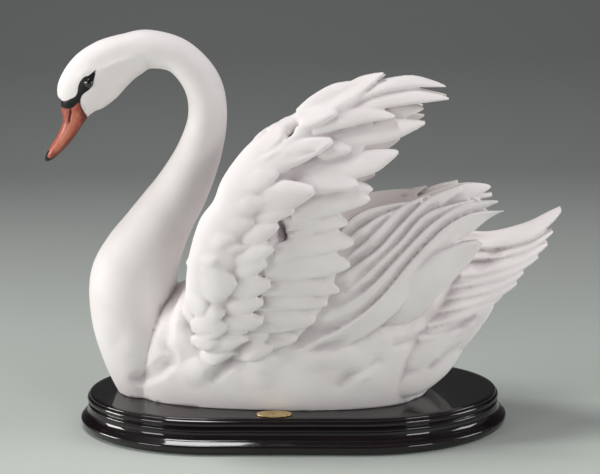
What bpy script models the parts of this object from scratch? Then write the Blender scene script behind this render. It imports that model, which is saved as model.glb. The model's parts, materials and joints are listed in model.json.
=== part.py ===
"""Swan figurine: one matt white casting on an oval moulded hardwood plinth.

Sizes are in millimetres and become metres where a vertex is made. The origin is the middle of the
underside, on the surface that the object stands on. The bird looks along -X and its left side is -Y.
Points of the bird are (x, z) or (x, y, z), with z measured up from its own flat base.
"""
import math

import bmesh
import bpy
import numpy as np
from mathutils import Vector

MM = 0.001

# Plinth
PLINTH_LENGTH = 330.0
PLINTH_WIDTH = 150.0
PLINTH_HEIGHT = 25.0
PLINTH_END_REACH = 109.5
PLINTH_STEP_IN = 8.0
PLINTH_SIDES = 60
FELT_THICK = 1.2
FELT_INSET = 4.0
SEAT_GAP = 0.3

# Badge
BADGE_LENGTH = 26.0
BADGE_WIDTH = 12.0
BADGE_THICK = 1.2
BADGE_RIM = 1.1
BADGE_RECESS = 0.4
BADGE_X = -8.0
BADGE_EDGE_MARGIN = 2.0

# Fixing screws
SCREW_X = {"front": -72.0, "rear": 36.0}
SCREW_DIAMETER = 5.0
SCREW_HEAD_DIAMETER = 10.0
SCREW_HEAD_DEPTH = 3.0
SCREW_BITE = 14.0
SCREW_SUNK = 1.0
SCREW_SLOT_WIDTH = 1.2
SCREW_SLOT_DEPTH = 1.2
SCREW_CLEARANCE = 0.3

# Fineness of the casting's surface
VOXEL = 1.2
SWAN_TRIANGLES = 10600
SMOOTH_PASSES = 2

# Breast, neck and head: x, z of the centre line, half depth along the photograph, half width across it
NECK_LINE = [
    (-104, -10, 23, 20), (-110, 12, 28, 28), (-116, 36, 30.5, 34), (-119.5, 61, 32.5, 36),
    (-118, 87, 33.5, 35), (-111, 106, 30, 30), (-100, 125, 25.5, 25.5), (-89, 142, 22.5, 22),
    (-78, 158, 20.5, 20), (-64, 185, 17, 17), (-56, 213, 14.5, 14.5), (-59, 238, 14, 14),
    (-75, 258, 13, 13.5), (-97, 264, 14.3, 14), (-112, 260, 16.6, 15), (-126.5, 253, 20, 16.5),
    (-139, 243.5, 21.6, 16.5), (-150, 232.5, 19.2, 14.5), (-156, 223.5, 14, 11.5),
]
# Bill: the same four sizes, from the base to the tip
BILL_LINE = [
    (-153, 228, 12, 9.5), (-155, 219.5, 11, 8.8), (-158.5, 209, 7.2, 7.8), (-164, 199.5, 5.7, 7.6),
    (-171.5, 190.5, 4.5, 7.4), (-177, 184.5, 3.2, 5.8), (-180, 181.6, 1.5, 2.6),
]
# Body: x, bottom z, top z, half width at the base, greatest half width
BODY_SECTIONS = [
    (-124, -8, 16, 8, 12), (-114, -8, 36, 19, 25), (-100, -8, 66, 31, 36), (-80, -8, 88, 39, 45),
    (-50, -8, 104, 46, 53), (0, -8, 112, 50.5, 57), (40, -8, 118, 49.5, 57), (66, -8, 122, 45, 54),
    (84, -7, 124, 38, 49), (98, -3, 124, 25, 42), (112, 12, 124, 14, 32), (125, 32, 122, 11, 21),
    (138, 58, 118, 9, 12), (150, 86, 116, 6, 7),
]
BODY_WIDEST_SHARE = 0.52

# Half width of the plinth's top that the casting's widths are drawn for; they follow the plinth's own
DRAWN_HALF_WIDTH = 67.0
CASTING_SPREAD = (PLINTH_WIDTH / 2 - PLINTH_STEP_IN) / DRAWN_HALF_WIDTH

# Wing: how far out from the middle plane its outer face lies, by height
WING_OUTREACH = [(0, 46), (35, 57), (75, 68), (123, 74), (173, 68), (223, 48), (275, 22)]
WING_LEADING_EDGE = [
    (-76, 62), (-71, 92), (-68, 113), (-64, 130), (-57, 149), (-47, 162), (-40, 178), (-24, 198),
    (-2, 215), (16, 223), (44, 236), (60, 245),
]
WING_TRAILING_EDGE = [
    (-12, 36), (8, 57), (24, 76), (36, 95), (41, 116), (42, 136), (45, 152), (45, 170), (50, 185),
    (62, 200), (68, 215), (72, 231),
]
WING_EDGE_RADIUS = (10.0, 5.0)
WING_EDGE_TURN = 10.0
WING_EDGE_TURN_LENGTH = 28.0
WING_ROOT_SHARE = 0.14
WING_ROOT_SINK = 22.0
WING_PAD = ((0.0, 0.3, 0.55, 1.0), (3.6, 3.6, -2.4, -2.4))
WING_THICKNESS = ((0.5, 1.0), (8.0, 3.0))
FAR_WING_DROP = 12.0

# Tertial fan and tail: how far out their outer faces lie
FAN_OUTREACH = [(20, 56), (45, 62), (75, 66), (105, 66), (130, 62), (150, 56), (162, 51), (175, 42)]
FAN_NARROWS_PAST = 50.0
FAN_NARROWING = 0.14
TAIL_RIDGE = [(120, 116), (150, 124), (180, 133), (207, 144)]
TAIL_RIDGE_HALF_WIDTH = 3.0
TAIL_SLOPE = 0.6
TAIL_HALF_WIDTH = 44.0
TAIL_NARROWS_PAST = 80.0
TAIL_NARROWING = 0.18
LINING_DEPTH = 5.4
LINING_TAPER = 0.1
LINING_TAPER_LENGTH = 50.0

# Shares of a feather's length at which its outline is given
LEAF_STATIONS = (0.0, 0.3, 0.65, 0.88, 1.0)


class Row:
    """A row of feathers that lie on one surface of the bird.

    Each feather is its root and tip (x, z), its width, the bend of its shaft and how far it stands above
    its row. The rise is how proud of the surface the row's upper and lower edges stand, first at the root
    and then at the tip. The outline is the share of the width at each of the leaf stations.
    """

    def __init__(self, surface, rise, thick, crown, outline, feathers):
        self.surface = surface
        self.rise = rise
        self.thick = thick
        self.crown = crown
        self.outline = outline
        self.feathers = feathers


ROWS = {
    "primaries": Row("wing", (-1, 1, -1, 1), 4.8, 1.0, (0.6, 0.95, 0.95, 0.5, 0.12), [
        ((14, 221), (54, 242), 11, 1, 2.6), ((27, 222), (76, 249), 10, 1, 3.2),
        ((50, 229), (120, 239), 9, 8, 0), ((51, 223), (122, 231), 11, 5, -0.3),
        ((68, 223), (104, 224), 11, 0, -5.5), ((31, 204), (105, 215), 16, -1, -2),
        ((28, 184), (86, 196), 18, -2.4, -1.6),
    ]),
    "secondaries": Row("wing", (-2.6, 0.2, -2.2, 0.5), 4.2, 0.4, (0.8, 1.0, 0.88, 0.55, 0.14), [
        ((12, 172), (57, 175), 20, 5.5, 0.8), ((32, 170), (68, 171), 12, 1.5, -1.5),
        ((9, 156), (66, 165), 18, 2, 0.4), ((4, 145), (50, 148), 17, 3.5, 0),
        ((-3, 130), (54, 134), 21, 4, 0), ((-10, 114), (51, 118), 23, 3, 0),
        ((-13, 101), (43, 98), 18, 3.5, 0), ((-17, 90), (34, 88), 17, 3, 0),
        ((-22, 74), (25, 76), 24, 2, 0), ((-31, 58), (11, 60), 19, 1, -0.5),
        ((-50, 64), (-10, 64), 30, 0, 0.4),
    ]),
    "primary_coverts": Row("wing", (0, 2.6, 0, 2.6), 4.8, 1.2, (0.6, 1.0, 0.8, 0.45, 0.12), [
        ((43, 228), (65, 241), 7, -1.3, 0.3), ((26, 213), (84, 220), 14, 4.4, 0.2),
        ((26, 199), (52, 199), 15, 1, -1.4),
    ]),
    "greater_coverts": Row("wing", (-1.5, -1, 3.5, 5.3), 5.5, 1.0, (0.6, 0.95, 0.97, 0.58, 0.25), [
        ((6, 211), (42, 224), 14, 3, 0), ((-24, 180), (39, 205), 17, 2, -0.3),
        ((-25, 157), (26, 172), 22, 2.5, 0.4), ((-25, 146), (12, 158), 13, 3, -0.6),
        ((-34, 129), (1, 148), 15, 2, 0), ((-38, 116), (-1, 134), 15, 1.5, 0.3),
        ((-39, 108), (-8, 121), 13, 1, 0), ((-42, 97), (-6, 105), 19, 2, 0.3),
        ((-46, 84), (-12, 91), 16, 1, -0.3), ((-50, 69), (-13, 77), 19, 1, -0.2),
        ((-59, 52), (-25, 61), 16, 1.5, -1.4), ((-44, 46), (-8, 53), 17, 1, -3.4),
    ]),
    "median_coverts": Row("wing", (-3, -2.5, 2.3, 4.3), 6.0, 0.9, (0.4, 0.9, 0.95, 0.55, 0.22), [
        ((-20, 197), (10, 215), 14, 0, -0.8), ((-26, 188), (3, 200), 12, 1.3, -0.7),
        ((-37, 169), (1, 185), 20, 1.4, -0.2), ((-45, 156), (-7, 166), 18, 0.7, 0),
        ((-53, 144), (-17, 151), 17, 0, -0.2), ((-62, 132), (-31, 140), 16, 0.5, 0.2),
        ((-50, 124), (-21, 134), 11, 2.5, 0), ((-67, 114), (-44, 125), 18, 0, 0.3),
        ((-64, 98), (-31, 109), 30, 2.5, 2), ((-70, 85), (-53, 91), 22, 0.4, 0.3),
        ((-61, 81), (-40, 83), 15, 0.6, 1.4), ((-67, 68), (-39, 72), 21, 1, 1.4),
        ((-68, 56), (-46, 59), 15, 0, -0.7), ((-62, 44), (-34, 47), 15, 0, -3.4),
    ]),
    "back_tertial": Row("fan", (-6, -6, -6, -6), 4.0, 0.5, (0.7, 0.9, 1.0, 0.6, 0.15), [
        ((102, 150), (152, 164), 11, 2, 0),
    ]),
    "tail_feathers": Row("tail", (-3.4, 2.4, -3, 2.4), 5.5, 1.0, (1.0, 1.0, 1.0, 0.65, 0.2), [
        ((126, 120), (205, 141), 11, -11, 1), ((135, 109), (198, 126), 10, -4.5, 0),
        ((129, 98), (194, 118), 12, -3.3, 0), ((123, 90), (187, 109), 10.5, -2.8, 0),
        ((116, 82), (176, 98), 10.5, -2.2, 0), ((110, 74), (171, 91), 10.5, -2.5, 0),
        ((105, 65), (160, 82), 10, -2.5, 0), ((98, 55), (153, 75), 11, -3, 0),
    ]),
    "under_tail": Row("tail", (-6, -6, 0.2, 1.3), 10.0, 2.2, (0.9, 1.0, 0.62, 0.34, 0.08), [
        ((78, 30), (153, 75), 30, -7.3, 1), ((69, 17), (132, 45), 28, -9, -1),
    ]),
    "rump": Row("fan", (-12, -20, 1.5, -11), 15.0, 3.0, (0.8, 1.0, 0.85, 0.55, 0.24), [
        ((66, 55), (143, 126), 35, 6, 0),
    ]),
}

# Tertial fan: the ridge along each feather's upper edge, from root to tip, and the web's two edges
FAN_RIDGES = [
    [(36, 127), (44, 140), (51, 148), (63, 154), (81, 157), (98, 158)],
    [(38, 120), (51, 136), (61, 143), (75, 150), (102, 158)],
    [(38, 111), (53, 125), (66, 136), (80, 149), (91, 157), (108, 162)],
    [(30, 97), (46, 110), (69, 125), (86, 142), (106, 159), (130, 167)],
    [(32, 85), (52, 100), (72, 118), (87, 132), (103, 148), (121, 154), (142, 158)],
    [(17, 67), (41, 83), (63, 98), (83, 118), (106, 140), (129, 153), (156, 156)],
    [(-10, 42), (13, 51), (46, 70), (71, 90), (94, 117), (118, 139), (138, 148), (161, 149)],
    [(-10, 31), (18, 42), (52, 55), (78, 73), (97, 96), (115, 119), (134, 132), (161, 146)],
]
FAN_RISE = (-5.0, -8.0, 1.9, -2.0)
FAN_THICK = 6.0
FAN_HOLLOW = -1.2
FAN_TIP_SHARE = 0.2
FAN_WEB = (
    [(28, 125), (47, 145), (80, 151), (110, 154), (140, 155)],
    [(-4, 38), (52, 58), (96, 99), (130, 135), (152, 146)],
)
FAN_WEB_RISE = (-5, -5, -4, -4)

# Lining of the wings: lines of the roots and of the tips, how many feathers, their width and their rise
LINING_ROWS = [
    ([(-24, 78), (-14, 110), (0, 150), (16, 184), (40, 222)],
     [(14, 66), (34, 98), (40, 132), (44, 166), (66, 214)], 11, 19.0, (-2.0, -2.0, 1.0, 2.2)),
    ([(-46, 84), (-40, 118), (-26, 152), (-6, 184), (22, 212)],
     [(-12, 72), (0, 108), (10, 144), (20, 176), (44, 212)], 11, 18.0, (-3.0, -3.0, 2.6, 3.6)),
]
LINING_THICK = 4.0
LINING_CROWN = 0.6
LINING_BEND = 3.0
LINING_OUTLINE = (0.8, 1.0, 1.0, 0.7, 0.12)


def smooth_path(points, count):
    """Samples of an even Catmull-Rom curve through the points."""
    ctrl = np.array(points, dtype=float)
    ctrl = np.vstack([2 * ctrl[0] - ctrl[1], ctrl, 2 * ctrl[-1] - ctrl[-2]])
    spans = len(ctrl) - 3
    samples = []
    for t in np.linspace(0.0, spans, count):
        i = min(int(t), spans - 1)
        u = t - i
        a, b, c, d = ctrl[i:i + 4]
        samples.append(0.5 * (2 * b + (c - a) * u + (2 * a - 5 * b + 4 * c - d) * u ** 2
                              + (3 * b - a - 3 * c + d) * u ** 3))
    return np.array(samples)


def tangents(path):
    ahead = np.gradient(path, axis=0)
    return ahead / np.linalg.norm(ahead, axis=1)[:, None]


def add_loft(bm, rings):
    """Joins rings of points into one closed skin, with a flat cap at each end."""
    loops = []
    for ring in rings:
        loops.append([bm.verts.new(Vector(point) * MM) for point in ring])
    count = len(loops[0])
    for below, above in zip(loops, loops[1:]):
        for i in range(count):
            j = (i + 1) % count
            bm.faces.new((below[i], below[j], above[j], above[i]))
    bm.faces.new(loops[0][::-1])
    bm.faces.new(loops[-1])


def add_tube(bm, line, samples, around):
    """A round limb in the middle plane: each station gives x, z, half depth and half width."""
    stations = smooth_path(line, samples)
    ahead = tangents(stations[:, :2])
    rings = []
    for (x, z, depth, width), (dx, dz) in zip(stations, ahead):
        ring = []
        for angle in np.linspace(0, 2 * math.pi, around, endpoint=False):
            out = depth * math.cos(angle)
            ring.append((x + dz * out, width * CASTING_SPREAD * math.sin(angle), z - dx * out))
        rings.append(ring)
    add_loft(bm, rings)


def add_body(bm):
    """The hull of the body: sections across it, flat sided below and arched above."""
    rings = []
    for x, bottom, top, base, widest in smooth_path(BODY_SECTIONS, 30):
        waist = bottom + (top - bottom) * BODY_WIDEST_SHARE
        half = [(0, bottom), (base * 0.8, bottom), (base * 1.04, bottom + (waist - bottom) * 0.25),
                (widest, waist), (widest * 0.74, waist + (top - waist) * 0.76), (0, top)]
        side = smooth_path(half, 14)
        ring = [(x, y * CASTING_SPREAD, z) for y, z in side]
        ring += [(x, -y * CASTING_SPREAD, z) for y, z in side[-2:0:-1]]
        rings.append(ring)
    add_loft(bm, rings)


def edge_at(edge, z):
    """The x of a wing's leading or trailing edge at a height."""
    return float(np.interp(z, [point[1] for point in edge], [point[0] for point in edge]))


def wing_reach(x, z):
    """How far out the wing's outer face lies at a point of the side view; it turns in at the leading edge."""
    past_edge = min(max((x - edge_at(WING_LEADING_EDGE, z)) / WING_EDGE_TURN_LENGTH, 0.0), 1.0)
    return float(np.interp(z, *zip(*WING_OUTREACH))) - WING_EDGE_TURN * (1.0 - past_edge) ** 2


def fan_reach(x, z):
    return float(np.interp(z, *zip(*FAN_OUTREACH))) - FAN_NARROWING * max(0.0, x - FAN_NARROWS_PAST)


def tail_reach(x, z):
    below_ridge = max(0.0, float(np.interp(x, *zip(*TAIL_RIDGE))) - z)
    widest = TAIL_HALF_WIDTH - TAIL_NARROWING * max(0.0, x - TAIL_NARROWS_PAST)
    return min(TAIL_RIDGE_HALF_WIDTH + TAIL_SLOPE * below_ridge, widest)


def lining_reach(x, z):
    """The wing's inner face, which comes nearer the outer one toward the trailing edge."""
    ahead = min(max(edge_at(WING_TRAILING_EDGE, z) - x, 0.0), LINING_TAPER_LENGTH)
    return wing_reach(x, z) - LINING_DEPTH - LINING_TAPER * ahead


REACH = {"wing": wing_reach, "fan": fan_reach, "tail": tail_reach, "lining": lining_reach}


def add_wing_shell(bm, side):
    """The wing under its feathers: ribs from the round leading edge to the thin trailing edge."""
    ribs = 40
    leading = smooth_path(WING_LEADING_EDGE, ribs)
    trailing = smooth_path(WING_TRAILING_EDGE, ribs)
    rings = []
    for i, (front, back) in enumerate(zip(leading, trailing)):
        share = i / (ribs - 1)
        radius = WING_EDGE_RADIUS[0] + (WING_EDGE_RADIUS[1] - WING_EDGE_RADIUS[0]) * share
        chord = np.linalg.norm(back - front)
        sink = WING_ROOT_SINK * max(0.0, 1.0 - share / WING_ROOT_SHARE) ** 2
        outer, inner = [], []
        for along in np.linspace(0.0, 1.0, 18) ** 1.5:
            x, z = front + (back - front) * along
            roundness = math.sqrt(1.0 - (1.0 - min(along * chord / radius, 1.0)) ** 2)
            pad = np.interp(along, *WING_PAD) * (1.0 - 0.4 * share)
            half = np.interp(along, (0.0,) + WING_THICKNESS[0], (2 * radius,) + WING_THICKNESS[1]) / 2
            middle = wing_reach(x, z) + pad - sink - half
            outer.append((x, side * CASTING_SPREAD * (middle + half * roundness), z))
            inner.append((x, side * CASTING_SPREAD * (middle - half * roundness), z))
        rings.append(outer + inner[-1:0:-1])
    add_loft(bm, rings)


def add_leaf(bm, surface, upper, lower, rise, thick, crown, side, across=7):
    """One thin feather on a surface, between (x, z) points along its upper and lower edges.

    Its rim is round and its root sinks in, so that each row laps the next.
    """
    facing = -1 if surface == "lining" else 1
    rings = []
    for i, (top, bottom) in enumerate(zip(upper, lower)):
        t = i / (len(upper) - 1)
        width = np.linalg.norm(top - bottom)
        half = thick / 2 * min(1.0, 0.35 + 0.65 * width / thick) * (1.0 - 0.25 * t)
        emerged = math.sin(math.pi / 2 * min(t / 0.6, 1.0))
        rise_top = rise[0] + (rise[2] - rise[0]) * emerged
        rise_bottom = rise[1] + (rise[3] - rise[1]) * emerged
        outer, inner = [], []
        for f in 0.5 - 0.5 * np.cos(np.linspace(0.0, math.pi, across)):
            x, z = top * (1 - f) + bottom * f
            rim = math.sqrt(max(0.0, 1.0 - (2 * f - 1) ** 6))
            lift = rise_top * (1 - f) + rise_bottom * f + crown * math.sin(math.pi * f) * min(1.0, width / 10)
            middle = REACH[surface](x, z) + facing * (lift - half)
            outer.append((x, side * CASTING_SPREAD * (middle + half * rim), z))
            inner.append((x, side * CASTING_SPREAD * (middle - half * rim), z))
        rings.append(outer + inner[-2:0:-1])
    add_loft(bm, rings)


def add_feather(bm, surface, root, tip, width, bend, outline, rise, thick, crown, side):
    """A leaf round a shaft that bends to one side between its root and its tip."""
    root, tip = np.array(root, dtype=float), np.array(tip, dtype=float)
    reach = tip - root
    normal = np.array([-reach[1], reach[0]]) / np.linalg.norm(reach)
    shaft = [root + reach * share + normal * bend * math.sin(math.pi * share) for share in LEAF_STATIONS]
    upper = [point + normal * width / 2 * share for point, share in zip(shaft, outline)]
    lower = [point - normal * width / 2 * share for point, share in zip(shaft, outline)]
    add_leaf(bm, surface, smooth_path(upper, 14), smooth_path(lower, 14), rise, thick, crown, side)


def add_row(bm, row, side):
    for root, tip, width, bend, lift in row.feathers:
        rise = [lift + height for height in row.rise]
        add_feather(bm, row.surface, root, tip, width, bend, row.outline, rise, row.thick, row.crown, side)


def add_lining(bm, side):
    """The long plain feathers of the wing's inner face, at an even pitch up the wing."""
    for roots, tips, count, width, rise in LINING_ROWS:
        for root, tip in zip(smooth_path(roots, count), smooth_path(tips, count)):
            add_feather(bm, "lining", root, tip, width, LINING_BEND, LINING_OUTLINE, rise, LINING_THICK,
                        LINING_CROWN, side)


def add_fan(bm, side):
    """The tertials: long hollow blades, each from its own ridge down to the next, on a common web."""
    for ridge, following in zip(FAN_RIDGES, FAN_RIDGES[1:]):
        upper = smooth_path(ridge, 26)
        under = smooth_path(following, 26)
        depth = np.maximum(upper[:, 1] - np.interp(upper[:, 0], under[:, 0], under[:, 1]), 1.5)
        closing = np.minimum(1.0, (1.0 - np.linspace(0.0, 1.0, 26)) / FAN_TIP_SHARE + 0.1)
        lower = upper - np.stack([np.zeros(26), depth * closing], axis=1)
        add_leaf(bm, "fan", upper, lower, FAN_RISE, FAN_THICK, FAN_HOLLOW, side)
    upper, lower = [smooth_path(edge, 20) for edge in FAN_WEB]
    add_leaf(bm, "fan", upper, lower, FAN_WEB_RISE, FAN_THICK, 0.0, side, across=15)


def material(name, colour, roughness, metallic=0.0):
    mat = bpy.data.materials.new(name)
    mat.use_nodes = True
    shader = mat.node_tree.nodes["Principled BSDF"]
    shader.inputs["Base Color"].default_value = (*colour, 1.0)
    shader.inputs["Roughness"].default_value = roughness
    shader.inputs["Metallic"].default_value = metallic
    return mat


def add_object(name, bm, mat=None):
    bmesh.ops.recalc_face_normals(bm, faces=bm.faces)
    mesh = bpy.data.meshes.new(name)
    bm.to_mesh(mesh)
    bm.free()
    obj = bpy.data.objects.new(name, mesh)
    bpy.context.scene.collection.objects.link(obj)
    if mat:
        mesh.materials.append(mat)
    return obj


def bake_modifiers(obj):
    """Replaces the object's mesh by its evaluated form and clears its modifiers."""
    graph = bpy.context.evaluated_depsgraph_get()
    mesh = bpy.data.meshes.new_from_object(obj.evaluated_get(graph))
    obj.modifiers.clear()
    obj.data = mesh


def keep_outer_skin(obj):
    """Deletes every island of faces but the largest, so no sealed hollow stays inside."""
    bm = bmesh.new()
    bm.from_mesh(obj.data)
    bm.faces.ensure_lookup_table()
    unseen = set(bm.faces)
    islands = []
    while unseen:
        stack = [unseen.pop()]
        island = []
        while stack:
            face = stack.pop()
            island.append(face)
            for edge in face.edges:
                for other in edge.link_faces:
                    if other in unseen:
                        unseen.remove(other)
                        stack.append(other)
        islands.append(island)
    islands.sort(key=len)
    for island in islands[:-1]:
        bmesh.ops.delete(bm, geom=list({v for face in island for v in face.verts}), context="VERTS")
    bm.to_mesh(obj.data)
    bm.free()


def cut_flat_base(obj):
    """Cuts the casting level at its own z = 0 and closes the cut."""
    bm = bmesh.new()
    bm.from_mesh(obj.data)
    geometry = bm.verts[:] + bm.edges[:] + bm.faces[:]
    cut = bmesh.ops.bisect_plane(bm, geom=geometry, dist=1e-6, plane_co=(0, 0, 0), plane_no=(0, 0, -1),
                                 clear_outer=True)
    rim = [part for part in cut["geom_cut"] if isinstance(part, bmesh.types.BMEdge)]
    bmesh.ops.edgenet_fill(bm, edges=rim)
    bmesh.ops.triangulate(bm, faces=bm.faces)
    bm.to_mesh(obj.data)
    bm.free()


def make_swan(mat):
    bm = bmesh.new()
    add_tube(bm, NECK_LINE, 60, 20)
    add_tube(bm, BILL_LINE, 18, 16)
    add_body(bm)
    for side in (-1, 1):
        before = set(bm.verts)
        add_wing_shell(bm, side)
        add_lining(bm, side)
        add_fan(bm, side)
        for row in ROWS.values():
            if row.surface != "tail":
                add_row(bm, row, side)
        if side > 0:
            for vert in set(bm.verts) - before:
                vert.co.z -= FAR_WING_DROP * MM
        for row in ROWS.values():
            if row.surface == "tail":
                add_row(bm, row, side)
    swan = add_object("swan", bm, mat)
    remesh = swan.modifiers.new("fuse", "REMESH")
    remesh.mode = "VOXEL"
    remesh.voxel_size = VOXEL * MM
    soften = swan.modifiers.new("soften", "SMOOTH")
    soften.iterations = SMOOTH_PASSES
    soften.factor = 0.5
    bake_modifiers(swan)
    keep_outer_skin(swan)
    thin = swan.modifiers.new("thin", "DECIMATE")
    thin.ratio = SWAN_TRIANGLES / (2 * len(swan.data.polygons))
    bake_modifiers(swan)
    cut_flat_base(swan)
    swan.location.z = (FELT_THICK + SEAT_GAP + PLINTH_HEIGHT + SEAT_GAP) * MM
    swan.data.shade_smooth()
    return swan


def arc(centre, radius, start, end, steps):
    """Points of an arc in the (outset, z) plane, angles in degrees from level outward."""
    turns = np.radians(np.linspace(start, end, steps))
    return [(centre[0] + radius * math.cos(a), centre[1] + radius * math.sin(a)) for a in turns]


def plinth_outline(outset):
    """Points round the plinth at a distance out from the edge of its top face."""
    straight = PLINTH_LENGTH / 2 - PLINTH_END_REACH
    reach = PLINTH_END_REACH - PLINTH_STEP_IN
    half = PLINTH_WIDTH / 2 - PLINTH_STEP_IN
    points = []
    for angle in np.linspace(0, 2 * math.pi, PLINTH_SIDES, endpoint=False) + math.pi / PLINTH_SIDES:
        x, y = reach * math.cos(angle), half * math.sin(angle)
        nx, ny = half * math.cos(angle), reach * math.sin(angle)
        size = math.hypot(nx, ny)
        shift = math.copysign(straight, x)
        points.append((x + shift + outset * nx / size, y + outset * ny / size))
    return points


def plinth_profile():
    """The moulding from the underside up: foot, cove, thin bead, groove, main bead, top edge."""
    top = PLINTH_HEIGHT
    foot = PLINTH_STEP_IN
    profile = [(foot - 1.6, 0.0), (foot - 0.8, 0.8)]
    profile += arc((foot - 2.2, 4.6), 2.2, -25, 75, 5)
    profile += arc((foot - 1.4, top - 11.4), 5.4, 252, 186, 5)
    profile += arc((0.2, top - 9.2), 1.5, -60, 60, 4)
    profile += arc((-0.7, top - 4.2), 2.8, -72, 50, 6)
    profile += [(0.2, top - 1.5), (-0.1, top - 0.6), (-0.9, top)]
    return profile


def make_plinth(mat):
    bm = bmesh.new()
    rings = []
    for outset, z in plinth_profile():
        rings.append([(x, y, z) for x, y in plinth_outline(outset)])
    add_loft(bm, rings)
    plinth = add_object("plinth", bm, mat)
    plinth.location.z = (FELT_THICK + SEAT_GAP) * MM
    return plinth


def make_felt(mat):
    outline = plinth_outline(PLINTH_STEP_IN - FELT_INSET)
    bm = bmesh.new()
    add_loft(bm, [[(x, y, z) for x, y in outline] for z in (0.0, FELT_THICK)])
    return add_object("felt_pad", bm, mat)


def make_badge(mat):
    """An oval plate with a raised rim, bare inside it."""
    def oval(inset, z):
        turns = np.linspace(0, 2 * math.pi, 40, endpoint=False)
        half_length, half_width = BADGE_LENGTH / 2 - inset, BADGE_WIDTH / 2 - inset
        return [(half_length * math.cos(a), half_width * math.sin(a), z) for a in turns]

    bm = bmesh.new()
    add_loft(bm, [oval(0, 0), oval(0, BADGE_THICK - 0.3), oval(0.3, BADGE_THICK),
                  oval(BADGE_RIM - 0.2, BADGE_THICK), oval(BADGE_RIM, BADGE_THICK - BADGE_RECESS)])
    badge = add_object("badge", bm, mat)
    front = PLINTH_WIDTH / 2 - PLINTH_STEP_IN - BADGE_EDGE_MARGIN
    seat = FELT_THICK + SEAT_GAP + PLINTH_HEIGHT + SEAT_GAP
    badge.location = Vector((BADGE_X, -(front - BADGE_WIDTH / 2), seat)) * MM
    return badge


def turned(profile, sides):
    """A solid of revolution about Z through (radius, z) points, from its bottom up."""
    bm = bmesh.new()
    turns = np.linspace(0, 2 * math.pi, sides, endpoint=False)
    add_loft(bm, [[(r * math.cos(a), r * math.sin(a), z) for a in turns] for r, z in profile])
    return bm


def add_cutter(name, bm, x, z):
    cutter = add_object(name, bm)
    cutter.location = Vector((x, 0, z)) * MM
    cutter.hide_render = True
    cutter.display_type = "WIRE"
    return cutter


def cut(target, cutter):
    boolean = target.modifiers.new("cut " + cutter.name, "BOOLEAN")
    boolean.operation = "DIFFERENCE"
    boolean.object = cutter


def screw_profile(extra, length):
    """Countersunk head and shank, grown by the extra on every side for the hole."""
    shank = SCREW_DIAMETER / 2 + extra
    head = SCREW_HEAD_DIAMETER / 2 + extra
    return [(head, 0.0), (head, 0.4), (shank, SCREW_HEAD_DEPTH + extra), (shank, length - 2.0),
            (shank * 0.35, length)]


def make_screw(name, x, plinth, swan, mat):
    """One wood screw, its sunk hole through the plinth and its blind hole in the casting."""
    bottom = FELT_THICK + SEAT_GAP + SCREW_SUNK
    length = PLINTH_HEIGHT - SCREW_SUNK + SEAT_GAP + SCREW_BITE
    screw = add_object(name, turned(screw_profile(0.0, length), 20), mat)
    screw.location = Vector((x, 0, bottom)) * MM
    slot = bmesh.new()
    size = Vector((SCREW_HEAD_DIAMETER * 2, SCREW_SLOT_WIDTH, SCREW_SLOT_DEPTH * 2)) * MM
    bmesh.ops.create_cube(slot, size=1.0)
    bmesh.ops.scale(slot, vec=size, verts=slot.verts)
    cut(screw, add_cutter(name + "_slot", slot, x, bottom))
    hole = [(SCREW_HEAD_DIAMETER / 2 + SCREW_CLEARANCE, -SCREW_SUNK - 2.0)]
    hole += screw_profile(SCREW_CLEARANCE, length + SCREW_CLEARANCE)
    cutter = add_cutter(name + "_hole", turned(hole, 20), x, bottom)
    cut(plinth, cutter)
    cut(swan, cutter)
    return screw


def main():
    for obj in list(bpy.data.objects):
        bpy.data.objects.remove(obj, do_unlink=True)
    bisque = material("bisque", (0.86, 0.85, 0.85), 0.55)
    lacquer = material("lacquered_wood", (0.018, 0.006, 0.007), 0.12)
    brass = material("brass", (0.72, 0.52, 0.24), 0.3, 1.0)
    felt = material("felt", (0.03, 0.07, 0.045), 0.95)
    steel = material("steel", (0.5, 0.5, 0.5), 0.35, 1.0)
    swan = make_swan(bisque)
    plinth = make_plinth(lacquer)
    make_felt(felt)
    make_badge(brass)
    for place, x in SCREW_X.items():
        make_screw("fixing_screw_" + place, x, plinth, swan, steel)


main()
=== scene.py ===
# %% [markdown]
# A white swan in matt bisque, with raised wings and a long fan of feathers behind them, stands on an
# oval wooden plinth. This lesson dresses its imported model: the camera and the light come first, then
# the bird itself, feather row by feather row, and last the plinth, the badge, the felt and the screws.
#
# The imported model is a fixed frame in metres. Its box is kept before anything is made, because the
# dressed swan has to stay inside it.

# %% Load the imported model
import json
import math

import bmesh
import bpy
import numpy as np
from mathutils import Matrix, Vector

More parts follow.
